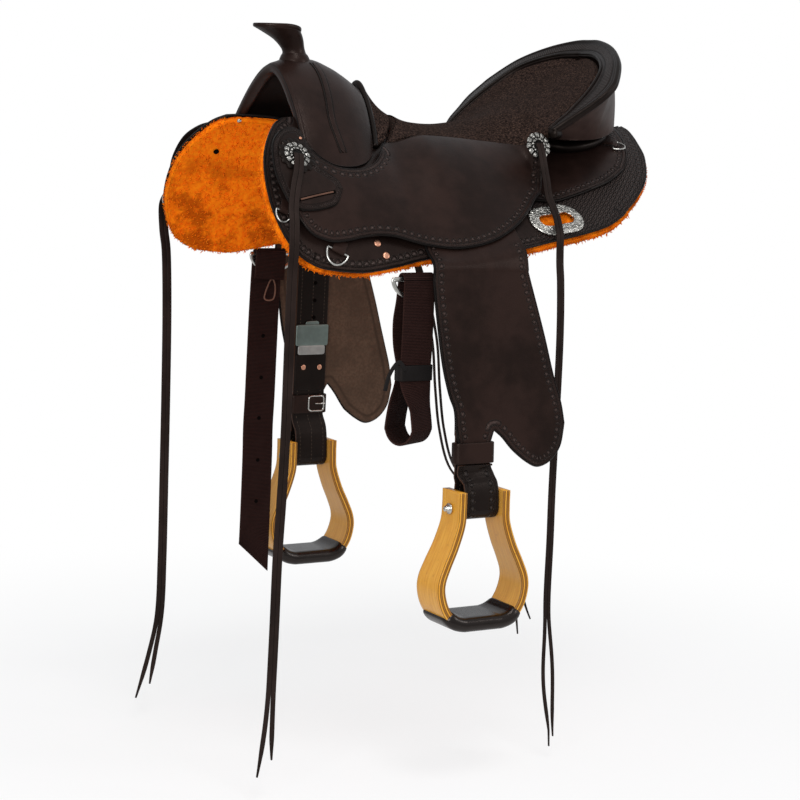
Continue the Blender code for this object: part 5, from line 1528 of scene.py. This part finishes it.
def buildFenders():
    # One sheet of two patches: the strap part, and the lobe behind it, which meet along a line
    # from the notch up; its top runs on up and in under the jockey as the neck
    half = leg["strapWidth"] / 2 - .001
    for label, side in sides:
        def dropped(edge):
            drop = leg["drop"][label] * np.clip((-.3 - edge[:, 1]) / .06, 0, 1)
            drop *= np.clip(np.abs(edge[:, 0] + .058) / .032 - 1, 0, 1)
            return edge - np.stack([0 * drop, drop], -1)

        left = dropped(even(leg["left"], 60))
        foot = np.array([(strapX(z, label) - half, z) for z in (-.388, -.405, -.424)])
        left = np.concatenate([left, foot])
        lobe = dropped(even(leg["arc"], 61))
        right = dropped(even(leg["right"], 81))
        apex = lobe[-1]
        tall = 81
        bow = leg["dividerBow"] * np.sin(np.linspace(0, math.pi, tall))
        divider = np.stack([np.linspace(leg["dividerX"], apex[0], tall) - bow,
                            np.linspace(leg["topZ"], apex[1], tall)], -1)
        strapZ = np.linspace(apex[1], -.424, 22)[1:]
        strapRight = strapX(strapZ, label) + half
        ease = np.clip((apex[1] - strapZ) / .0165, 0, 1)
        strapRight = apex[0] * (1 - ease) + strapRight * ease
        z = np.concatenate([divider[:, 1], strapZ])
        inner = np.concatenate([divider[:, 0], strapRight])
        outer = np.interp(-z, -left[:, 1], left[:, 0])
        v = np.linspace(0, 1, 33)
        first = np.stack([outer[:, None] * (1 - v) + inner[:, None] * v, z[:, None] + 0 * v], -1)
        top = np.stack([np.linspace(divider[0, 0], .026, 61), np.full(61, leg["topZ"])], -1)
        second = coons(top, lobe[::-1], divider, right)[1:].transpose(1, 0, 2)
        rows = len(z)
        indexA = np.arange(rows * 33).reshape(rows, 33)
        indexB = rows * 33 + np.arange(second.shape[0] * second.shape[1]).reshape(second.shape[:2])
        indexB = np.concatenate([indexA[:tall, -1:], indexB], 1)
        flat = np.concatenate([first.reshape(-1, 2), second.reshape(-1, 2)])
        points = hung(flat, side)
        topIndex = np.concatenate([indexA[0], indexB[0, 1:]])
        neck = neckLines(points[topIndex][:, 0], 30, side)[:-1]
        indexN = np.arange(neck.shape[0] * neck.shape[1]).reshape(neck.shape[:2]) + len(points)
        indexN = np.concatenate([indexN, topIndex[None]])
        points = np.concatenate([points, neck.reshape(-1, 3)])
        thick = np.interp(points[:, 2], [-.175, -.12], [leg["thick"], .004])
        strapSide = np.stack([inner, z], -1)[tall:-1]
        edges = (np.stack([outer, z], -1)[1:], np.concatenate([right[1:], lobe[1:], strapSide]))
        outline = [np.concatenate([neck[:, end], hung(edge, side)]) for end, edge in zip((0, -1), edges)]
        rim = rimOf(points, outline)
        rim[:, 2] = np.clip((-.108 - points[:, 2]) / .01, 0, 1)
        quads = np.concatenate([quadsOf(index) for index in (indexA, indexB, indexN)])
        piece = shell(f"{label}_fender_leather", points, quads, thick, (0, side, .3), looks["fender"],
                      {"rim": rim}, body=None, node=f"{label}_fender")
        neckPiece = partAbove(piece, f"{label}_fender_neck_leather", leg["topZ"])
        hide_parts(f"{label}_fender_neck")
        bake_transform(neckPiece)
        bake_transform(piece)


def partAbove(piece, name, height):
    # the faces above a height go to a piece of their own, which meets the rest edge to edge
    other = bpy.data.objects.new(name, piece.data.copy())
    bpy.context.collection.objects.link(other)
    for item, above in ((piece, False), (other, True)):
        shape = bmesh.new()
        shape.from_mesh(item.data)
        gone = [face for face in shape.faces if (face.calc_center_median().z > height) != above]
        bmesh.ops.delete(shape, geom=gone, context="FACES")
        shape.to_mesh(item.data)
        shape.free()
    return other


def quadsOf(index):
    return np.stack([index[:-1, :-1], index[1:, :-1], index[1:, 1:], index[:-1, 1:]], -1).reshape(-1, 4)


def neckLines(xs, rows, side):
    # lines that leave from between the skirt and the jockey and turn down to the fender's top
    jockeyX, jockeyS = np.array(jockeyShape["low"][9:]).T
    lines = []
    for x in xs:
        edge = np.interp(x, jockeyX, jockeyS)
        start = back(np.full(2, x), np.array([edge - .026, edge - .01]), .0084)
        bend = back(x, edge + .008, .0094)
        middle = [x, bend[1] + (leg["topY"] - bend[1]) * .75, bend[2] + (leg["topZ"] - bend[2]) * .42]
        tail = [(x, fenderY(z), z) for z in (leg["topZ"] + .007, leg["topZ"])]
        lines.append(even([start[0], start[1], bend, middle, *tail], rows))
    return onSide(np.stack(lines, 1), side)


def leatherPath(label):
    # down inside the fender, round the roller, and up outside to the hobble
    low = leg["boltZ"][label]
    y = leg["stirrupY"]
    bend = leg["rollerR"] + .0008 + leg["strapThick"] / 2
    gap = leg["thick"] / 2 + leg["strapThick"] / 2 + .001
    high = [(fenderY(z) - gap, z) for z in (-.165, -.225, -.285, -.345, -.38, -.4, -.4225)]
    turns = np.linspace(math.pi * .98, 2 * math.pi, 13)
    around = [(y + bend * math.cos(t), low + bend * math.sin(t)) for t in turns]
    down = [(y - .0105, low + .046), (y - .013, low + .0355), (y - .0143, low + .024)]
    up = [(y + .0136, low + .02), (y + .01, low + .0335), (y + .0045, low + .0415),
          (fenderY(-.43) + .0012, -.429), (fenderY(-.421) + .0046, -.4195)]
    return np.array(high + down + around + up)


def strapLoop(name, centre, across, along, inner, wall, length, finish, corner, **keep):
    # a flat band round a strap: its centre line is a rounded rectangle
    out = np.cross(across, along)
    outline = roundedSection(inner[0] + wall, inner[1] + wall, corner, 8, 12)
    path = centre + across * outline[:, :1] + out * outline[:, 1:]
    normals = outward(np.cross(tangents(path, ring=True), along), path, centre)
    return band(name, path, normals, length, wall, finish, ring=True, between=10, **keep)


def buildLeathers():
    for label, side in sides:
        knots = np.array([(0, y, z) for y, z in leatherPath(label)])
        line = onSide(spline(knots, 260), side)
        path = line.copy()
        path[:, 0] = strapX(path[:, 2], label)
        normals = np.cross(tangents(line), alongX) * side
        outer = np.clip((runLength(path) - .335) / .004, 0, 1)
        band(f"{label}_stirrup_strap", path, normals, leg["strapWidth"], leg["strapThick"], looks["strap"],
             tool=outer, body=f"{label}_leg", between=28, corner=.0016, node=f"{label}_stirrup_leather")
        across, slope, _ = strapFrame(side)
        z = leg["hobbleZ"]
        centre = np.array([float(strapX(z, label)), side * (fenderY(z) - .0027), z])
        thick = leg["thick"] + leg["strapThick"] + .001
        strapLoop(f"{label}_hobble", centre, across, slope,
                  (leg["strapWidth"] + .0022, thick + .003), .0034, .03, looks["plain"], .0062,
                  body=f"{label}_leg", node=f"{label}_hobble_strap")
        buildBucklePlate(label, side)
        buildHobbleBuckle(label, side)


# a plate's section from its back to its middle in front: share of its size, share of its rise
plateSection = ((0, 0), (.96, 0), (1, .15), (1, .7), (.985, .92), (.95, 1), (.6, 1.0), (.3, 1.0), (0, 1.0))


def buildBucklePlate(label, side):
    # two plates with rounded corners and turned edges, and the narrow tongue above them
    across, down, out = strapFrame(side)
    x, z = leg["strapTopX"][label], leg["plateZ"]
    y = fenderY(z) - leg["thick"] / 2 - leg["strapThick"] - .0016
    for part, middle, width, tall, rise, finish in (
            ("plate", 0, .0575, .034, .003, "plate"), ("tongue", -.0175, .024, .01, .0022, "plate"),
            ("keeper", .024, .048, .015, .0026, "paleSteel"),
            ("patch", .06, .054, .058, .002, "black")):
        outline = roundedSection(width, tall, .0035 if part != "tongue" else .0045, 6, 3)
        centre = np.array([x, side * y, z]) + down * middle
        rows = [centre + across * outline[:, :1] * grow + down * outline[:, 1:] * grow + out * rise * up
                for grow, up in plateSection]
        sweep(f"{label}_buckle_{part}", np.array(rows), looks[finish], body=f"{label}_leg",
              node=f"{label}_buckle_plate", slot="leather" if finish == "black" else "steel")


def buildHobbleBuckle(label, side):
    # a square wire frame with its prong, on the strap's inner side; rivets and holes above it
    across, down, out = strapFrame(side)

    def at(x, z, lift):
        return np.array([x, side * (fenderY(z) - leg["thick"] / 2 - leg["strapThick"] - .001 - lift), z])

    x, z = leg["buckle"]
    frame = roundedSection(.027, .024, .005, 5, 3)
    middle = at(x + float(strapX(z, label)), z, .0052)
    loop = middle + across * frame[:, :1] + down * frame[:, 1:]
    wire(f"{label}_hobble_buckle", loop, out, .0013, looks["steel"], body=f"{label}_leg",
         node=f"{label}_hobble_strap", slot="steel")
    prong = even([middle - across * .0015 + out * .0004, middle + across * .006 + out * .0022,
                  middle + across * .015 + out * .0012], 24)
    sweep(f"{label}_hobble_prong", roundTube(prong, .0011, out + 0 * prong), looks["steel"],
          body=f"{label}_leg", node=f"{label}_hobble_strap", slot="steel")
    # the holes are dark discs of painted shade
    for k, (dx, z, lift, radius, finish) in enumerate(leg["studs"]):
        kind = "rivet" if finish == "copper" else "hole"
        stud(f"{label}_strap_{kind}_{k}", at(leg["strapTopX"][label] + dx, z, lift), out, radius, .0012,
             looks[finish], body=f"{label}_leg", node=f"{label}_stirrup_leather")


buildFenders()
buildLeathers()
print("fenders hung")


# stirrups

stirrupShape = dict(
    half=[(.0415, -.455, .05), (.0415, -.478, .05), (.043, -.5, .051), (.053, -.53, .053),
          (.065, -.556, .056), (.0735, -.578, .059), (.0745, -.598, .062), (.067, -.622, .065),
          (.052, -.6405, .066), (.03, -.648, .066), (0, -.648, .066)],
    ply=.012, corner=.0016, treadWall=.0045, treadCorner=.0092, treadShare=(13.5 / 37, 23.5 / 37))


def stirrupSections(line, label, side, grow, thick, corner):
    # rounded sections across the bent wood, wider by grow on each side
    drop = leg["boltZ"]["near"] - leg["boltZ"][label]
    flat = line * [1, 1, 0]
    along = tangents(flat)
    inward = np.stack([-along[:, 1], along[:, 0], 0 * along[:, 0]], -1)
    inward *= np.sign((inward * (np.array([0, -.56, 0]) - flat)).sum(1, keepdims=True))
    wide = line[:, 2:] / 2 + grow
    deep = (thick + 2 * grow) / 2
    x, y = roundedSection(.2, deep * 2, corner, between=9).T[:, None]
    a = np.sign(x) * (wide - (.1 - np.abs(x)))
    a = np.where(np.abs(y) >= deep - 1e-9, x / (.1 - corner) * (wide - corner), a)
    b = y + deep - grow + 0 * wide
    place = line[:, None] + inward[:, None] * b[..., None]
    points = np.stack([leg["stirrupX"][label] + place[..., 0], side * leg["stirrupY"] + a,
                       place[..., 1] - drop], -1)
    ply = np.stack([runLength(flat)[:, None] + 0 * a, a / wide, (b + grow) / (thick + 2 * grow)], -1)
    return points, ply


def buildStirrups():
    half = np.array([(-w, z, d) for w, z, d in stirrupShape["half"]])
    line = even(np.concatenate([half, half[-2::-1] * [-1, 1, 1]]), 223)
    line[:, 1] = np.maximum(line[:, 1], half[-1, 1])
    first, last = [int(round(share * 222)) for share in stirrupShape["treadShare"]]
    for label, side in sides:
        points, ply = stirrupSections(line, label, side, 0, stirrupShape["ply"], stirrupShape["corner"])
        sweep(f"{label}_stirrup_wood", points, looks["wood"], data={"ply": ply},
              body=f"{label}_stirrup_body", node=f"{label}_stirrup", slot="wood")
        tread = stirrupSections(line, label, side, stirrupShape["treadWall"], stirrupShape["ply"],
                                stirrupShape["treadCorner"])[0][first:last + 1]
        middle = tread.mean(1, keepdims=True)
        ends = np.clip(np.minimum(np.arange(len(tread)), np.arange(len(tread))[::-1]) / 9, 0, 1)
        shrink = 1 - .17 * (1 - np.sqrt(1 - (1 - ends) ** 2))[:, None, None]
        sweep(f"{label}_tread_leather", middle + (tread - middle) * shrink, looks["tread"],
              body=f"{label}_stirrup_body", node=f"{label}_stirrup_tread", slot="black_leather")
        buildBolt(label, side)


def buildBolt(label, side):
    # a turned bolt: cap nut, washer, shank, roller and head
    face = .0432
    profile = [(-face - .0098, .0008), (-face - .0095, .002), (-face - .0086, .0034),
               (-face - .0072, .0042), (-face - .0055, .0046), (-face - .0052, .0052),
               (-face - .002, .0055), (-face - .0018, .0078),
               (-face - .0006, .008), (-face, .0076), (-face + .0001, .004), (-.0281, .004), (-.028, .0116),
               (-.0276, .012), (.0276, .012), (.028, .0116), (.0281, .004), (face - .0001, .004),
               (face, .0078), (face + .0008, .0081), (face + .003, .0074), (face + .004, .005),
               (face + .0042, .001)]
    place = (leg["stirrupX"][label], side * leg["stirrupY"], leg["boltZ"][label])
    lathe(f"{label}_bolt_steel", place, (-side, 0, 0), profile, looks["steel"],
          body=f"{label}_stirrup_body", node=f"{label}_stirrup_bolt", slot="steel")


buildStirrups()
print("stirrups made")


# rigging

# ring: width, drop and the wire's radius
rigging = dict(x=-.144, y=.2235, z=-.16, webWidth=.049, webThick=.0036, billet=.051, billetThick=.0042,
               ring=(.074, .026, .0034), twist=26, holes=(-.289, -.354, -.417, -.483, -.5485))


def buildRigging():
    x, y, z = rigging["x"], rigging["y"], rigging["z"]
    for label, side in sides:
        loop = deeLoop(np.array([x, side * y, z]), alongX, -alongZ, *rigging["ring"][:2], 96)
        wire(f"{label}_ring_steel", loop, alongY, rigging["ring"][2], looks["steel"], flat=.5,
             body="near_latigo_body" if side < 0 else "off_billet_body",
             node=f"{label}_cinch_ring", slot="steel")
    half = .008
    top = [(y + half * math.cos(t), z + half * math.sin(t) * .95) for t in np.linspace(0, math.pi, 7)]
    inside = [(.211, -.19), (.204, -.22), (.2065, -.252), (.217, -.28), (.218, -.29), (.215, -.302),
              (.202, -.33)]
    fold = [(.218 + .0225 * math.cos(t), -.365 + .025 * math.sin(t))
            for t in np.linspace(math.pi, 2 * math.pi, 11)]
    outside = [(.235, -.33), (.229, -.302), (.228, -.29), (.2285, -.28), (.2305, -.25), (.2315, -.2)]
    path = evenRing([(x, -a, b) for a, b in top + inside + fold + outside], 300)
    normals = outward(np.cross(tangents(path, ring=True), alongX), path, path.mean(0))
    # below the band the webbing turns about an upright line
    turn = np.radians(rigging["twist"]) * smooth((-.298 - path[:, 2]) / .045)
    middle = np.array([x, -y, 0])
    path, normals = [np.stack([v[:, 0] * np.cos(turn) - v[:, 1] * np.sin(turn),
                               v[:, 0] * np.sin(turn) + v[:, 1] * np.cos(turn), v[:, 2]], -1) + add
                     for v, add in ((path - middle, middle), (normals, 0))]
    band("near_latigo_web", path, normals, rigging["webWidth"], rigging["webThick"], looks["web"],
         ring=True, between=24, body="near_latigo_body", node="near_latigo", slot="webbing")
    strapLoop("near_latigo_rubber", np.array([x, -y, -.29]), alongX, -alongZ,
              (rigging["webWidth"] + .0012, .01 + rigging["webThick"] + .0016), .0022, .022,
              looks["rubber"], .0048, body="near_latigo_body", node="near_latigo_band", slot="rubber")
    tail = even([(-.162, -.233, -.286), (-.172, -.2335, -.274), (-.18, -.2335, -.2786),
                 (-.1886, -.2335, -.2922), (-.1942, -.2335, -.3129)], 60)
    band("near_rubber_tail", tail, 0 * tail - alongY, .006, .0024, looks["rubber"],
         body="near_latigo_body", node="near_latigo_band", slot="rubber")
    half = .0062
    over = [(y - half * math.cos(t), z + half * math.sin(t)) for t in np.linspace(0, math.pi, 7)]
    tail = [(y - half, z - .04), (y - half, z - .02)]
    long = [(.2297, -.19), (.2272, -.25), (.2225, -.32), (.216, -.385), (.2125, -.43), (.2105, -.48),
            (.21, -.56), (.21, -.639)]
    knots = np.array([(np.interp(b, [-.639, -.43, -.33, -.16], [-.1712, -.1675, -.16, -.15]), a, b)
                      for a, b in tail + over + long])
    path = even(knots, 420)
    normals = np.cross(tangents(path * [0, 1, 1]), alongX)
    thick = np.interp(runLength(path), [0, .012], [.0008, rigging["billetThick"]])
    billet = band("off_billet_web", path, normals, rigging["billet"], thick, looks["web"], between=24,
                  corner=.0015, body="off_billet_body", node="off_billet")
    # each hole is a dark disc of painted shade on the billet
    for k, level in enumerate(rigging["holes"]):
        centre = [np.interp(level, path[::-1, 2], path[::-1, axis]) for axis in (0, 1, 2)]
        half = rigging["billetThick"] / 2 + .0003
        profile = [(-half, 0), (-half, .003), (half, .003), (half, 0)]
        lathe(f"off_billet_hole_{k}", centre, alongY, profile, looks["hole"], 20, body="off_billet_body", node="off_billet", slot="webbing")
    loop = np.array([(-.14, .2205, -.211), (-.148, .219, -.2), (-.159, .219, -.229), (-.143, .22, -.231)])
    wire("off_billet_keeper", evenRing(loop, 60), alongY, .0013, looks["thong"], flat=.6,
         body="off_billet_body", node="off_billet", slot="webbing")
    low = np.empty(len(billet.data.vertices) * 3)
    billet.data.vertices.foreach_get("co", low)
    low = low.reshape(-1, 3)
    slanted = np.clip((-.56 - low[:, 2]) / .079, 0, 1) ** 2
    low[:, 2] -= slanted * (low[:, 0] + .1712) * .91
    billet.data.vertices.foreach_set("co", low.ravel())


buildRigging()
print("rigging made")


# stage

# each lamp: name, place, aim, size and power
stageLook = dict(floorZ=-.885, worldLight=.55, bounce=.4,
                 lamps=(("front", (-2.2, -2.7, .6), (-.05, 0, -.15), 1.8, 62),
                        ("top", (-.4, -1.5, 2.6), (0, 0, 0), .8, 22),
                        ("right", (2.4, -2.2, 1.0), (0, 0, -.2), .8, 14)))


def buildStage():
    size, z = 9.0, stageLook["floorZ"]
    corners = np.array([(-size, -size, z), (size, -size, z), (size, size, z), (-size, size, z)])
    # white to the camera, with a soft shadow near the object only, and dimmer to everything else
    paper = Finish("paper", Roughness=1.0, Specular_IOR_Level=0.0, Emission_Strength=1.0)
    x, y, _ = [Num(paper, socket) for socket in paper.tree.nodes.new("ShaderNodeSeparateXYZ").outputs]
    paper.tree.links.new(paper.place(), x.socket.node.inputs[0])
    far = ((x * x + y * y) ** .5).ease(.5, 1.5)
    seenBy = paper.node("ShaderNodeLightPath")
    glow = paper.mix(far, (.62, .62, .62), (1, 1, 1))
    bounce = (stageLook["bounce"],) * 3
    paper.set(Base_Color=paper.mix(far, (.4, .4, .4), (0, 0, 0)),
              Emission_Color=paper.mix(seenBy, bounce, glow))
    makePiece("floor", corners, np.array([[0, 1, 2, 3]]), paper.material, body=None, slot=None)
    world = bpy.data.worlds.new("studio")
    bpy.context.scene.world = world
    world.use_nodes = True
    tree = world.node_tree
    shown, dim = tree.nodes["Background"], tree.nodes.new("ShaderNodeBackground")
    dim.inputs["Color"].default_value = (.95, .97, 1, 1)
    dim.inputs["Strength"].default_value = stageLook["worldLight"]
    shown.inputs["Color"].default_value = (1, 1, 1, 1)
    shown.inputs["Strength"].default_value = 1.0
    rays, pick = tree.nodes.new("ShaderNodeLightPath"), tree.nodes.new("ShaderNodeMixShader")
    tree.links.new(rays.outputs["Is Camera Ray"], pick.inputs[0])
    tree.links.new(dim.outputs[0], pick.inputs[1])
    tree.links.new(shown.outputs[0], pick.inputs[2])
    tree.links.new(pick.outputs[0], tree.nodes["World Output"].inputs[0])
    for name, place, aim, size, power in stageLook["lamps"]:
        lamp = bpy.data.lights.new(name, "AREA")
        lamp.size, lamp.energy = size, power
        item = bpy.data.objects.new(name, lamp)
        item.location = place
        item.rotation_euler = (Vector(aim) - Vector(place)).to_track_quat("-Z", "Y").to_euler()
        bpy.context.collection.objects.link(item)
    scene = bpy.context.scene
    scene.view_settings.view_transform = "Standard"


for name, look in (("seat_base", "foam"), ("cantle_board", "board")):
    for place in bpy.data.objects[name].material_slots:
        place.material = looks[look]
buildStage()
print("stage set")
